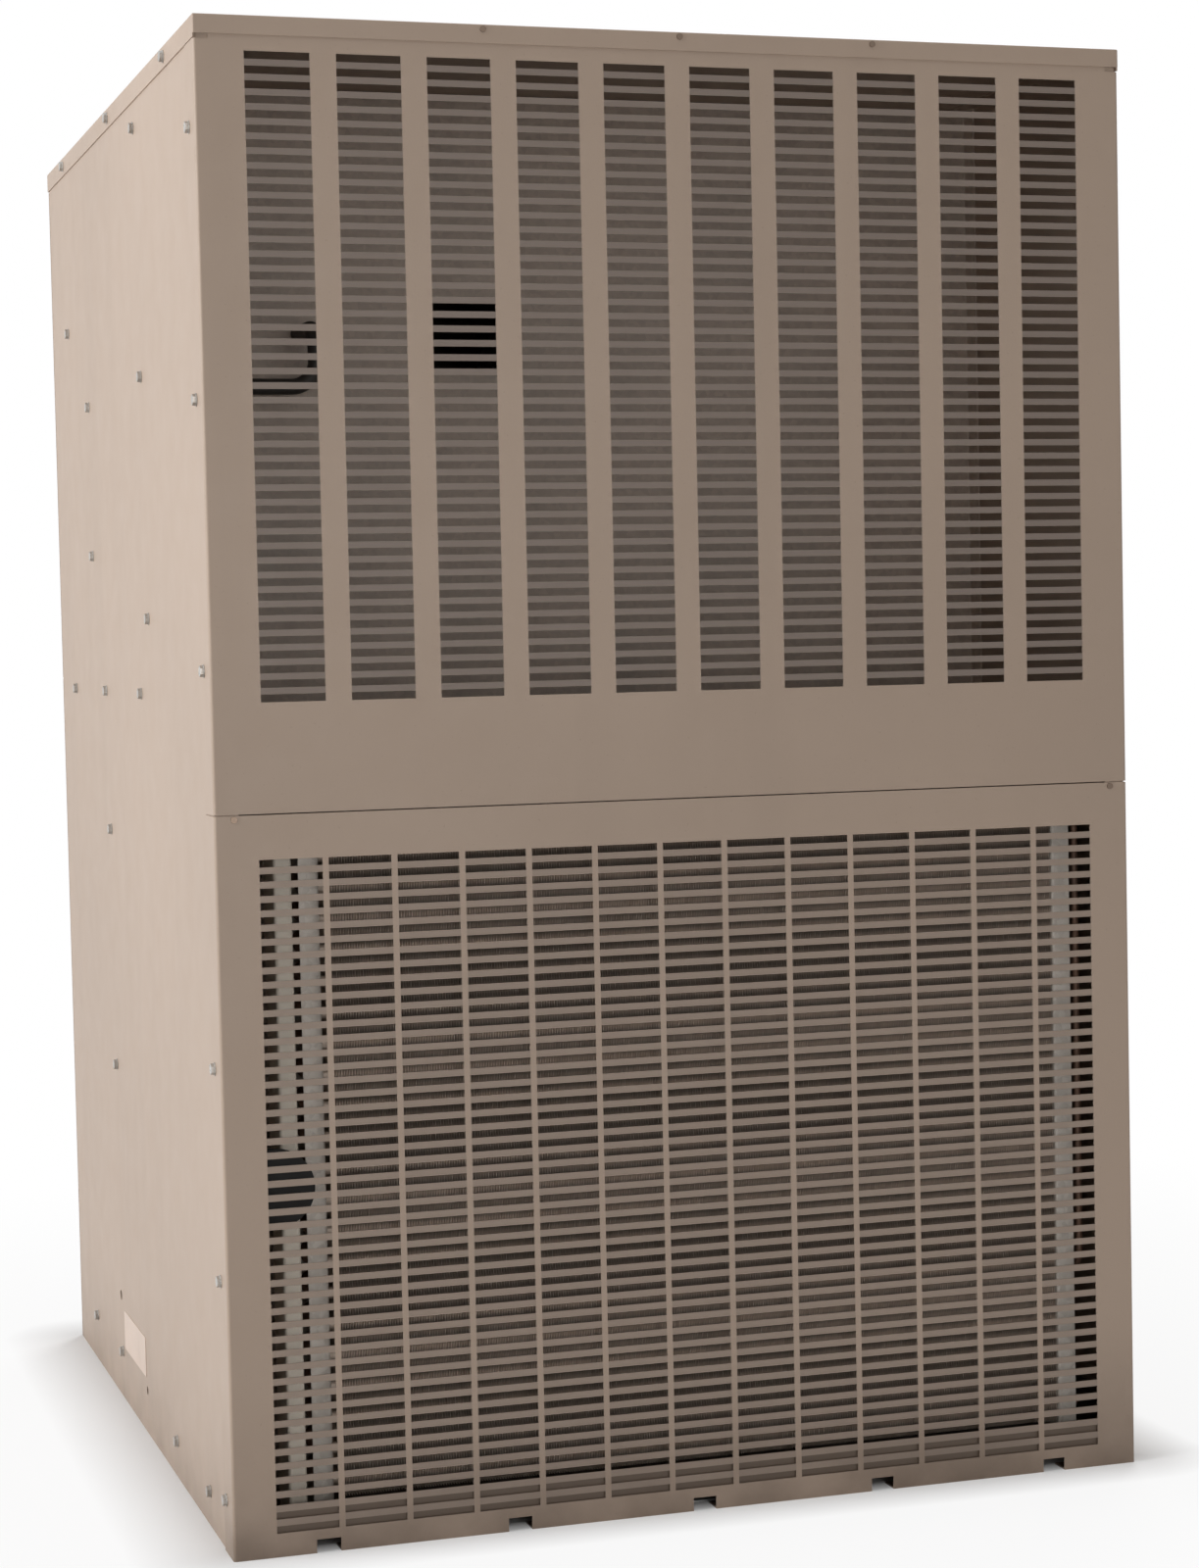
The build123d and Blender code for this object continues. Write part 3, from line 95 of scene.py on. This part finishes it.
class Finish:
    """A node material on Object coordinates, with short calls for the nodes that the finishes share."""

    def __init__(self, name, roughness, metallic=0.0):
        self.material = bpy.data.materials.new(name)
        self.material.use_nodes = True
        self.tree = self.material.node_tree
        self.shader = self.tree.nodes["Principled BSDF"]
        self.shader.inputs["Roughness"].default_value = roughness
        self.shader.inputs["Metallic"].default_value = metallic
        self.coords = self.tree.nodes.new("ShaderNodeTexCoord").outputs["Object"]

    def node(self, kind, **inputs):
        """A new node with its inputs set or linked, by name, or by number as i0, i1 and so on."""
        made = self.tree.nodes.new(kind)
        for key, value in inputs.items():
            numbered = key[0] == "i" and key[1:].isdigit()
            socket = made.inputs[int(key[1:])] if numbered else made.inputs[key]
            if isinstance(value, bpy.types.NodeSocket):
                self.tree.links.new(value, socket)
            else:
                socket.default_value = value
        return made

    def math(self, kind, first, second=0.0, clamp=False):
        made = self.node("ShaderNodeMath", i0=first, i1=second)
        made.operation = kind
        made.use_clamp = clamp
        return made.outputs[0]

    def noise(self, scale, detail=3.0, stretch=(1, 1, 1)):
        place = self.node("ShaderNodeMapping", Vector=self.coords, Scale=stretch).outputs[0]
        made = self.node("ShaderNodeTexNoise", Vector=place, Scale=scale, Detail=detail)
        return made.outputs["Fac"]

    def cells(self, scale):
        return self.node("ShaderNodeTexVoronoi", Vector=self.coords, Scale=scale).outputs["Color"]

    def axes(self):
        return self.node("ShaderNodeSeparateXYZ", Vector=self.coords).outputs

    def ramp(self, value, low, high):
        """0 below low, 1 above high, and a straight rise between them."""
        made = self.node("ShaderNodeMapRange", Value=value)
        made.inputs["From Min"].default_value = low
        made.inputs["From Max"].default_value = high
        return made.outputs[0]

    def mix(self, factor, first, second, kind="MIX"):
        made = self.tree.nodes.new("ShaderNodeMix")
        made.data_type = "RGBA"
        made.blend_type = kind
        sockets = (made.inputs[0], made.inputs[6], made.inputs[7])
        for socket, value in zip(sockets, (factor, first, second)):
            if isinstance(value, bpy.types.NodeSocket):
                self.tree.links.new(value, socket)
            else:
                socket.default_value = value
        return made.outputs[2]

    def color(self, value):
        if isinstance(value, bpy.types.NodeSocket):
            self.tree.links.new(value, self.shader.inputs["Base Color"])
        else:
            self.shader.inputs["Base Color"].default_value = value

    def rough(self, value, low, high):
        spread = self.node("ShaderNodeMapRange", Value=value)
        spread.inputs["To Min"].default_value = low
        spread.inputs["To Max"].default_value = high
        self.tree.links.new(spread.outputs[0], self.shader.inputs["Roughness"])

    def bump(self, height, distance, strength=1.0):
        made = self.node("ShaderNodeBump", Height=height, Strength=strength)
        made.inputs["Distance"].default_value = distance
        self.tree.links.new(made.outputs[0], self.shader.inputs["Normal"])


PAINT = linear(178, 158, 141)
# Grime for streaks, specks and the foot; on the base pan's foot it is also painted shade
GRIME_AND_FOOT_SHADE = linear(96, 80, 66)
# Painted shade for the bars between the louvre and grille slots, where the recessed blades fall in
# shade
BAR_SHADE = linear(118, 106, 98)


def pressed_bars(finish, columns, rows, column_pitch, row_pitch, slot, first):
    """1 on the bars between the rows of a grid of slots, and 0 on the plain sheet around them; it
    places the painted bar shade.

    Across, a point is in a column where its distance from the nearest column's middle is under half
    a slot. Up, it is between the head of the first row and the foot of the last.
    """
    x, y, z = finish.axes()[:3]
    shift = 100.5 if columns % 2 else 100.0
    along = finish.math("FRACT", finish.math("ADD", finish.math("DIVIDE", x, column_pitch), shift))
    half = slot[0] / column_pitch / 2
    off = finish.math("ABSOLUTE", finish.math("SUBTRACT", along, 0.5))
    inside = finish.math("SUBTRACT", 1.0, finish.ramp(off, half - 0.004, half + 0.004))
    head = first + slot[1] / 2
    foot = first - (rows - 1) * row_pitch - slot[1] / 2
    above = finish.ramp(z, foot - 0.0004, foot + 0.0004)
    below = finish.math("SUBTRACT", 1.0, finish.ramp(z, head - 0.0004, head + 0.0004))
    wide = finish.math("LESS_THAN", finish.math("ABSOLUTE", x), columns * column_pitch / 2)
    across = finish.math("MULTIPLY", inside, wide)
    return finish.math("MULTIPLY", across, finish.math("MULTIPLY", above, below))


def painted_sheet(name, foot_grime_and_shade=0.0, bars=None, bar_amount=0.0):
    """Baked tan enamel: faint orange peel, soft fading, grime at the foot that on the base pan is also
    painted shade, and painted shade on the bars between the slots.
    """
    finish = Finish(name, 0.5)
    fade = finish.ramp(finish.noise(2.3, 5.0), 0.3, 0.7)
    faded, fresh = [tuple(share * part for part in PAINT[:3]) + (1,) for share in (0.955, 1.03)]
    tone = finish.mix(fade, faded, fresh)
    streaks = finish.ramp(finish.noise(9.0, 4.0, (1, 1, 0.08)), 0.52, 0.8)
    tone = finish.mix(finish.math("MULTIPLY", streaks, 0.10), tone, GRIME_AND_FOOT_SHADE)
    specks = finish.ramp(finish.noise(420.0, 2.0), 0.70, 0.78)
    tone = finish.mix(finish.math("MULTIPLY", specks, 0.16), tone, GRIME_AND_FOOT_SHADE)
    # Darker towards the floor: grime, and on the base pan also painted shade, where the pan stands in
    # shade behind the grille
    if foot_grime_and_shade:
        near = finish.math("SUBTRACT", 1.0, finish.ramp(finish.axes()[2], 0.0, 0.16))
        blotch = finish.ramp(finish.noise(14.0, 5.0), 0.25, 0.65)
        soil_and_shade = finish.math("MULTIPLY", finish.math("POWER", near, 2.0),
                           finish.math("ADD", blotch, 0.35))
        tone = finish.mix(finish.math("MULTIPLY", soil_and_shade, foot_grime_and_shade, True), tone, GRIME_AND_FOOT_SHADE)
    # Painted shade on the bars between the slots, standing in for the shade of the recessed blades
    if bars:
        dust_and_painted_shade = finish.math("MULTIPLY", pressed_bars(finish, *bars), bar_amount)
        tone = finish.mix(dust_and_painted_shade, tone, BAR_SHADE)
    finish.color(tone)
    finish.rough(finish.noise(30.0, 3.0), 0.40, 0.58)
    finish.bump(finish.noise(650.0, 2.0), 0.00012, 0.5)
    return finish.material


def galvanized_sheet(name, dark=linear(152, 154, 154), light=linear(174, 175, 174),
                     metallic=0.75):
    """Zinc-coated steel with spangles a few millimetres across and a dull bloom."""
    finish = Finish(name, 0.5, metallic)
    spangle = finish.node("ShaderNodeSeparateColor", Color=finish.cells(190.0)).outputs[0]
    tone = finish.mix(spangle, dark, light)
    bloom = finish.ramp(finish.noise(7.0, 5.0), 0.45, 0.75)
    tone = finish.mix(finish.math("MULTIPLY", bloom, 0.35), tone, linear(150, 148, 142))
    finish.color(tone)
    finish.rough(spangle, 0.40, 0.54)
    finish.bump(finish.noise(300.0, 2.0), 0.00006, 0.4)
    return finish.material


def metal(name, color, roughness, worn, grain=260.0, metallic=1.0):
    """A plain metal with fine grain and a tarnished second tone."""
    finish = Finish(name, roughness, metallic)
    patch = finish.ramp(finish.noise(24.0, 5.0), 0.38, 0.68)
    finish.color(finish.mix(finish.math("MULTIPLY", patch, 0.6), color, worn))
    finish.rough(finish.noise(grain, 3.0), roughness - 0.08, roughness + 0.12)
    finish.bump(finish.noise(grain * 2, 2.0), 0.00004, 0.4)
    return finish.material


def screw_plating():
    """Bright zinc on the sides and the rear. Heads on the outdoor face are a darker dull brown."""
    finish = Finish("screw_zinc", 0.28, 0.85)
    patch = finish.ramp(finish.noise(24.0, 5.0), 0.38, 0.68)
    bright = finish.mix(finish.math("MULTIPLY", patch, 0.6), linear(182, 180, 176),
                        linear(140, 134, 126))
    dull = finish.math("LESS_THAN", finish.axes()[1], FRONT + 0.002)
    finish.color(finish.mix(dull, bright, linear(112, 97, 85)))
    finish.rough(finish.noise(260.0, 3.0), 0.2, 0.4)
    finish.bump(finish.noise(520.0, 2.0), 0.00004, 0.4)
    return finish.material


def moulded(name, color, roughness, grain=900.0):
    """Moulded plastic or rubber with a fine grain and dust in soft patches."""
    finish = Finish(name, roughness)
    dust_and_painted_shade = finish.ramp(finish.noise(18.0, 4.0), 0.45, 0.8)
    pale = tuple(min(1.0, 0.75 * c + 0.035) for c in color[:3]) + (1,)
    finish.color(finish.mix(finish.math("MULTIPLY", dust_and_painted_shade, 0.5), color, pale))
    finish.rough(finish.noise(60.0, 3.0), roughness - 0.06, roughness + 0.08)
    finish.bump(finish.noise(grain, 2.0), 0.00008, 0.5)
    return finish.material


def coil_foil():
    """Fin foil, with painted shade in bands between the collars, which are left lighter.

    The painted shade follows half of one minus the cosine of height over half a tube pitch, because
    the tubes of the two rows stand half a pitch apart.
    """
    finish = Finish("fin_aluminium_foil", 0.45, 0.1)
    turns = finish.math("DIVIDE", finish.axes()[2], TUBE_PITCH / 2)
    wave = finish.math("COSINE", finish.math("MULTIPLY", turns, 2 * np.pi))
    dust_and_painted_shade = finish.math("SUBTRACT", 0.5, finish.math("MULTIPLY", wave, 0.5))
    patch = finish.ramp(finish.noise(24.0, 5.0), 0.38, 0.68)
    foil_tone = finish.mix(finish.math("MULTIPLY", patch, 0.4), linear(244, 229, 215),
                       linear(215, 200, 186))
    # Painted shade in bands between the collars, at half the tube pitch
    finish.color(finish.mix(finish.math("MULTIPLY", dust_and_painted_shade, 0.8), foil_tone, linear(132, 118, 106)))
    finish.rough(finish.noise(260.0, 3.0), 0.37, 0.57)
    finish.bump(finish.noise(520.0, 2.0), 0.00004, 0.4)
    return finish.material


def pleated_cloth():
    """Filter cloth: a felt of short fibres, greyer where air has gone through."""
    finish = Finish("filter_felt", 0.95)
    fibres = finish.noise(1500.0, 4.0, (1, 1, 0.25))
    soil_and_shade = finish.ramp(finish.noise(12.0, 4.0), 0.3, 0.75)
    tone = finish.mix(finish.math("MULTIPLY", soil_and_shade, 0.35), linear(222, 224, 224), linear(168, 164, 156))
    finish.color(finish.mix(finish.math("MULTIPLY", fibres, 0.2), tone, linear(150, 150, 150)))
    finish.bump(fibres, 0.0002, 0.6)
    return finish.material


def board():
    """Filter frame board: fibres along the board and faint corrugations."""
    finish = Finish("filter_board_paper", 0.85)
    fibre = finish.noise(500.0, 3.0, (0.2, 1, 1))
    finish.color(finish.mix(fibre, linear(196, 184, 158), linear(172, 156, 126)))
    finish.bump(fibre, 0.0001, 0.6)
    return finish.material


def make_mesh(name, points, faces, material):
    """One flat-faced piece from points and faces, in the frame's metres, riding on the cabinet."""
    mesh = bpy.data.meshes.new(name)
    faces = faces if isinstance(faces, list) else faces.tolist()
    mesh.from_pydata(np.asarray(points).tolist(), [], faces)
    mesh.validate()
    mesh.update()
    mesh.polygons.foreach_set("use_smooth", [False] * len(mesh.polygons))
    piece = bpy.data.objects.new(name, mesh)
    bpy.context.scene.collection.objects.link(piece)
    piece.data.materials.append(material)
    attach(piece, ROOT)
    return piece


def extrusions(profile, starts, direction, length):
    """Copies of a closed profile in y and z, carried along x.

    Point i of the profile at end e of copy k is start k plus profile i plus e times length along
    direction.
    """
    profile, starts = np.asarray(profile, float), np.asarray(starts, float)
    count = len(profile)
    ends = np.stack([profile, profile + np.asarray(direction) * length])
    points = starts[:, None, None, :] + ends[None]
    step = np.arange(count)
    after = (step + 1) % count
    sides = np.stack([step, after, after + count, step + count], axis=1)
    faces = []
    for copy in range(len(starts)):
        faces += (sides + copy * 2 * count).tolist()
        faces.append((step[::-1] + copy * 2 * count).tolist())
        faces.append((step + count + copy * 2 * count).tolist())
    return points.reshape(-1, 3), faces


def louver_lips(material):
    """The lip bent inwards and up from the head of every louvre slot.

    Its outer face is a 60 degree arc, where the point at angle t is LIP_BEND times sin t in and
    LIP_BEND times 1 - cos t up, and then a straight along the arc's last direction. The inner face
    lies one thickness along the outer one's normals.
    """
    steps = 4
    turn = np.linspace(0, np.pi / 3, steps)
    outer = np.stack([np.zeros(steps), LIP_BEND * np.sin(turn), LIP_BEND * (1 - np.cos(turn))], axis=1)
    tangent = np.array([0, np.cos(turn[-1]), np.sin(turn[-1])])
    outer = np.vstack([outer, outer[-1] + tangent * LIP_REACH])
    normal = np.array([0, -np.sin(turn[-1]), np.cos(turn[-1])])
    normals = np.stack([np.zeros(steps), -np.sin(turn), np.cos(turn)], axis=1)
    inner = outer + LIP_THICKNESS * np.vstack([normals, normal])
    profile = np.vstack([outer, inner[::-1]])
    columns = np.arange(LOUVER_COLUMNS) - (LOUVER_COLUMNS - 1) / 2
    x = (LEFT + RIGHT) / 2 + columns * LOUVER_COLUMN_PITCH - LOUVER_SLOT[0] / 2
    z = LOUVER_FIRST - np.arange(LOUVER_ROWS) * LOUVER_ROW_PITCH + LOUVER_SLOT[1] / 2
    grid_x, grid_z = np.meshgrid(x, z)
    behind = np.full(grid_x.size, FRONT + 2 * SHEET)
    starts = np.stack([grid_x.ravel(), behind, grid_z.ravel()], axis=1)
    points, faces = extrusions(profile, starts, (1, 0, 0), LOUVER_SLOT[0])
    make_mesh("louver_lips", points, faces, material)


def fine_coil(name, node, fin_finish):
    """A real fin pack in the place of the coarse one: thin plates across the tubes.

    Fin k stands at x equal to the left edge plus k pitches. Its edge at height z lies at the front
    plus FIN_RIPPLE times the cosine of two turns per tube pitch. The tubes run straight across
    between the end plates, in the fins' own finish, because the fins' collars cover them.
    """
    low, high = [np.array(corner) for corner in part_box(node)]
    left, right = low[0] + FIRST_FIN, high[0] - LAST_FIN
    z = np.arange(low[2], high[2] + 1e-6, TUBE_PITCH / 4)
    ripple = FIN_RIPPLE * np.cos(2 * np.pi * (z - low[2]) / (TUBE_PITCH / 2))
    front, back = low[1] + FIN_INSET + ripple, high[1] - FIN_INSET + ripple
    outline_y = np.concatenate([front, back[::-1]])
    outline_z = np.concatenate([z, z[::-1]])
    profile = np.stack([np.zeros(len(outline_y)), outline_y, outline_z], axis=1)
    fins = np.arange(left, right, FIN_PITCH)
    rows = len(z)
    count = len(profile)
    ends = np.stack([profile, profile + np.array([FIN_THICKNESS, 0, 0])])
    places = np.stack([fins, 0 * fins, 0 * fins], axis=1)
    points = (places[:, None, None, :] + ends[None]).reshape(-1, 3)
    step = np.arange(rows - 1)
    near = np.stack([step, step + 1, count - 2 - step, count - 1 - step], axis=1)
    rim = np.arange(count)
    rim = np.stack([rim, (rim + 1) % count, (rim + 1) % count + count, rim + count], axis=1)[:, ::-1]
    one = np.vstack([near, (near + count)[:, ::-1], rim])
    faces = (np.arange(len(fins)) * 2 * count)[:, None, None] + one[None]
    pack = make_mesh(name + "_fins", points, faces.reshape(-1, 4), fin_finish)
    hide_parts(node)
    angle = np.arange(TUBE_SIDES) * 2 * np.pi / TUBE_SIDES
    circle = np.stack([0 * angle, TUBE_RADIUS * np.cos(angle), TUBE_RADIUS * np.sin(angle)], axis=1)
    level = np.arange(low[2] + TUBE_PITCH / 2, high[2], TUBE_PITCH)
    first = np.stack([0 * level + low[0], 0 * level + low[1] + ROW_PITCH / 2, level], axis=1)
    second = first + np.array([0, ROW_PITCH, TUBE_PITCH / 2])
    second = second[second[:, 2] < high[2] + TUBE_PITCH]
    starts = np.vstack([first, second])
    points, faces = extrusions(circle, starts, (1, 0, 0), high[0] - low[0])
    make_mesh(name + "_collars", points, faces, fin_finish)


def side_plate(material):
    """The bare pale plate on the left side, a thin rounded rectangle standing on the sheet."""
    radius, steps = PLATE_CORNER, 6
    y0, y1 = FRONT + PLATE_Y[0], FRONT + PLATE_Y[1]
    z0, z1 = PLATE_Z
    quarter = np.linspace(0, np.pi / 2, steps)
    corners = [(y1 - radius, z1 - radius, 0), (y0 + radius, z1 - radius, 1),
               (y0 + radius, z0 + radius, 2), (y1 - radius, z0 + radius, 3)]
    y = np.concatenate([cy + radius * np.cos(quarter + turn * np.pi / 2) for cy, cz, turn in corners])
    z = np.concatenate([cz + radius * np.sin(quarter + turn * np.pi / 2) for cy, cz, turn in corners])
    profile = np.stack([0 * y, y, z], axis=1)
    start = np.array([[LEFT + SHEET - PLATE_THICKNESS, 0, 0]])
    points, faces = extrusions(profile, start, (1, 0, 0), PLATE_THICKNESS)
    make_mesh("side_plate", points, faces, material)


def soften(name, width):
    """Rounds a CAD node's sharp edges a little, so that they catch the light as folded metal does."""
    piece = nodes[name]
    weld = piece.modifiers.new("weld", "WELD")
    weld.merge_threshold = 0.00001
    bevel = piece.modifiers.new("soft_edges", "BEVEL")
    bevel.width = width
    bevel.segments = 2
    bevel.limit_method = "ANGLE"
    bevel.angle_limit = 0.7


paint = painted_sheet("tan_enamel")
side_paint = painted_sheet("tan_enamel_side", foot_grime_and_shade=0.35)
# The base pan's heavy darkening at its foot is partly grime and partly painted shade for the shade
# behind the bottom of the grille
pan_paint = painted_sheet("tan_enamel_soiled_and_shaded", foot_grime_and_shade=4.0)
# The louvre and grille finishes carry painted shade on the bars between their slots
louver_paint = painted_sheet(
    "tan_enamel_louvers", 0.0,
    (LOUVER_COLUMNS, LOUVER_ROWS, LOUVER_COLUMN_PITCH, LOUVER_ROW_PITCH, LOUVER_SLOT, LOUVER_FIRST),
    0.9)
grille_paint = painted_sheet(
    "tan_enamel_grille", 0.55,
    (GRILLE_COLUMNS, GRILLE_ROWS, GRILLE_COLUMN_PITCH, GRILLE_ROW_PITCH, GRILLE_SLOT, GRILLE_FIRST),
    0.45)
zinc_sheet = galvanized_sheet("galvanized_sheet")
warm_sheet = galvanized_sheet("galvanized_dusty", linear(204, 188, 175), linear(220, 204, 190), 0.1)
end_sheet = galvanized_sheet("galvanized_pale", linear(214, 206, 196), linear(236, 229, 220), 0.1)
fin_metal = coil_foil()
copper = metal("copper_tube", linear(190, 112, 78), 0.38, linear(120, 74, 54))
weathered_copper = metal("weathered_copper", linear(118, 92, 76), 0.55, linear(92, 76, 66),
                         metallic=0.4)
screw_zinc = screw_plating()
bracket_zinc = metal("bracket_zinc", linear(200, 196, 186), 0.34, linear(150, 140, 122))
shaft_steel = metal("ground_steel", linear(170, 172, 175), 0.28, linear(140, 140, 140))
fan_metal = metal("fan_aluminium_sheet", linear(188, 190, 192), 0.4, linear(150, 150, 148))
brass = metal("brass_body", linear(196, 164, 96), 0.36, linear(140, 112, 66))
heater_metal = metal("heater_sheath", linear(96, 88, 84), 0.5, linear(62, 54, 58))
black_enamel = moulded("black_enamel", linear(26, 26, 27), 0.38, 500.0)
motor_enamel = moulded("motor_enamel", linear(62, 66, 70), 0.42, 500.0)
rubber = moulded("black_rubber_pad", linear(30, 29, 28), 0.8)
black_plastic = moulded("black_moulding", linear(28, 28, 29), 0.5)
grey_plastic = moulded("grey_moulding", linear(150, 150, 148), 0.5)
red_plastic = moulded("red_moulding", linear(176, 30, 24), 0.3)
conduit_plastic = moulded("conduit_moulding", linear(74, 70, 66), 0.55)
pale_enamel = moulded("pale_enamel", linear(252, 243, 228), 0.5, 600.0)
plate_finish = moulded("pale_plate", linear(208, 187, 171), 0.4, 500.0)

FINISHES = {
    paint: ["right_side_panel", "top_cover", "return_air_frame", "access_panel", "access_panel_handle"],
    side_paint: ["left_side_panel"],
    pan_paint: ["base_pan"],
    louver_paint: ["louver_panel"],
    grille_paint: ["coil_grille_panel"],
    zinc_sheet: ["base_rails", "vent_damper", "deck", "lower_partition", "evaporator_end_plates",
                 "drain_pan", "drain_pan_stand", "filter_rack", "blower_housing", "blower_wheel",
                 "heater_frame", "supply_collar", "control_box", "control_box_cover",
                 "run_capacitor"],
    end_sheet: ["condenser_end_plates"],
    warm_sheet: ["upper_partition", "fan_shroud"],
    copper: ["evaporator_return_bends", "liquid_line", "suction_line", "filter_drier"],
    weathered_copper: ["condenser_return_bends", "hot_gas_line"],
    screw_zinc: ["cabinet_screws", "access_panel_screws"],
    bracket_zinc: ["fan_motor_bracket", "blower_motor_mount"],
    shaft_steel: ["condenser_fan_shaft", "blower_shaft"],
    fan_metal: ["condenser_fan"],
    brass: ["expansion_valve"],
    heater_metal: ["heater_elements"],
    black_enamel: ["compressor"],
    motor_enamel: ["condenser_fan_motor", "blower_motor"],
    rubber: ["compressor_grommets", "coil_clamp_pad"],
    black_plastic: ["contactor", "transformer", "pressure_switch", "breaker"],
    conduit_plastic: ["wiring_conduit"],
    grey_plastic: ["breaker_lever", "contactor_plunger"],
    red_plastic: ["reset_button"],
    pale_enamel: ["coil_side_post"],
    pleated_cloth(): ["filter_media"],
    board(): ["filter_frame"],
}
for finish_material, names in FINISHES.items():
    for name in names:
        nodes[name].data.materials.clear()
        nodes[name].data.materials.append(finish_material)

louver_lips(louver_paint)
fine_coil("condenser", "condenser_fins", fin_metal)
fine_coil("evaporator", "evaporator_fins", fin_metal)
side_plate(plate_finish)
for name in ("cabinet_screws", "access_panel_screws"):
    soften(name, SCREW_EDGE)


WORLD_LIGHT = 0.10
WORLD_TINT = (1.0, 0.94, 0.90, 1)
FLOOR_NEAR, FLOOR_FAR, FLOOR_GLOW = 0.08, 0.9, 0.88
LAMPS = [
    ("key_left", (-4.2, -0.6, 2.2), (0, 0, 0.6), 2.6, 158, (0.97, 0.98, 1.0)),
    ("front_low", (0.0, -4.4, 0.9), (0, 0, 0.6), 1.6, 23.5, (1.0, 0.97, 0.94)),
    ("sky_top", (-0.4, -1.0, 3.8), (0, 0, 0.6), 3.0, 26, (1.0, 0.97, 0.94)),
    ("fill_rear", (2.4, 3.6, 2.2), (0, 0, 0.6), 2.4, 110, (1.0, 1.0, 1.0)),
]


def seen_by_eye(tree):
    """1 for rays from the camera and mirrored or passed rays, and 0 for rays that light things."""
    path = tree.nodes.new("ShaderNodeLightPath")
    found = path.outputs["Is Camera Ray"]
    for key in ("Is Glossy Ray", "Is Transmission Ray"):
        larger = tree.nodes.new("ShaderNodeMath")
        larger.operation = "MAXIMUM"
        tree.links.new(found, larger.inputs[0])
        tree.links.new(path.outputs[key], larger.inputs[1])
        found = larger.outputs[0]
    return found


def white_floor():
    """A pale floor that turns white to the eye away from the object, and keeps the shadow near it.

    A point's distance from the cabinet's footprint sets how white it is: 0 at the footprint,
    FLOOR_GLOW at FLOOR_NEAR, and 1 from FLOOR_FAR on, with straight rises between them.
    """
    reach = 8.0
    corners = [(-reach, -reach, 0), (reach, -reach, 0), (reach, reach, 0), (-reach, reach, 0)]
    mesh = bpy.data.meshes.new("floor")
    mesh.from_pydata(corners, [], [(0, 1, 2, 3)])
    piece = bpy.data.objects.new("floor", mesh)
    bpy.context.scene.collection.objects.link(piece)
    ground = Finish("floor_white", 0.9)
    ground.color((0.82, 0.82, 0.82, 1))
    x, y = ground.axes()[:2]
    past_x = ground.math("MAXIMUM", ground.math("SUBTRACT", ground.math("ABSOLUTE", x), RIGHT), 0.0)
    past_y = ground.math("MAXIMUM", ground.math("SUBTRACT", ground.math("ABSOLUTE", y), REAR), 0.0)
    squares = [ground.math("POWER", past, 2.0) for past in (past_x, past_y)]
    away = ground.math("SQRT", ground.math("ADD", *squares))
    close = ground.math("MULTIPLY", ground.ramp(away, 0.0, FLOOR_NEAR), FLOOR_GLOW)
    far = ground.math("MULTIPLY", ground.ramp(away, FLOOR_NEAR, FLOOR_FAR), 1.0 - FLOOR_GLOW)
    share = ground.math("MULTIPLY", ground.math("ADD", close, far), seen_by_eye(ground.tree))
    glow = ground.node("ShaderNodeEmission")
    blend = ground.node("ShaderNodeMixShader", i0=share, i1=ground.shader.outputs[0],
                        i2=glow.outputs[0])
    ground.tree.links.new(blend.outputs[0], ground.tree.nodes["Material Output"].inputs["Surface"])
    mesh.materials.append(ground.material)


def white_surround():
    """A world that is white to the eye and gives a soft, slightly warm light to the object."""
    world = bpy.data.worlds.new("surround")
    bpy.context.scene.world = world
    world.use_nodes = True
    tree = world.node_tree
    light = tree.nodes["Background"]
    light.inputs["Color"].default_value = WORLD_TINT
    light.inputs["Strength"].default_value = WORLD_LIGHT
    white = tree.nodes.new("ShaderNodeBackground")
    white.inputs["Color"].default_value = (1, 1, 1, 1)
    blend = tree.nodes.new("ShaderNodeMixShader")
    tree.links.new(seen_by_eye(tree), blend.inputs[0])
    tree.links.new(light.outputs[0], blend.inputs[1])
    tree.links.new(white.outputs[0], blend.inputs[2])
    tree.links.new(blend.outputs[0], tree.nodes["World Output"].inputs["Surface"])


def soft_lamps():
    for name, place, aim, size, power, color in LAMPS:
        lamp = bpy.data.lights.new(name, "AREA")
        lamp.shape = "DISK"
        lamp.size = size
        lamp.energy = power
        lamp.color = color
        piece = bpy.data.objects.new(name, lamp)
        piece.location = place
        piece.rotation_euler = (Vector(aim) - Vector(place)).to_track_quat("-Z", "Y").to_euler()
        bpy.context.scene.collection.objects.link(piece)


white_floor()
white_surround()
soft_lamps()

camera = bpy.data.cameras.new("camera")
camera.lens = CAMERA_LENS
camera.sensor_width = 36.0
camera_piece = bpy.data.objects.new("camera", camera)
bpy.context.scene.collection.objects.link(camera_piece)
turned = Matrix((CAMERA_RIGHT, CAMERA_UP, [-part for part in CAMERA_FORWARD])).transposed().to_4x4()
camera_place = Vector((LEFT, FRONT, 0)) + Vector(CAMERA_OFFSET)
camera_piece.matrix_world = Matrix.Translation(camera_place) @ turned
bpy.context.scene.camera = camera_piece
bpy.context.scene.view_settings.view_transform = "Standard"
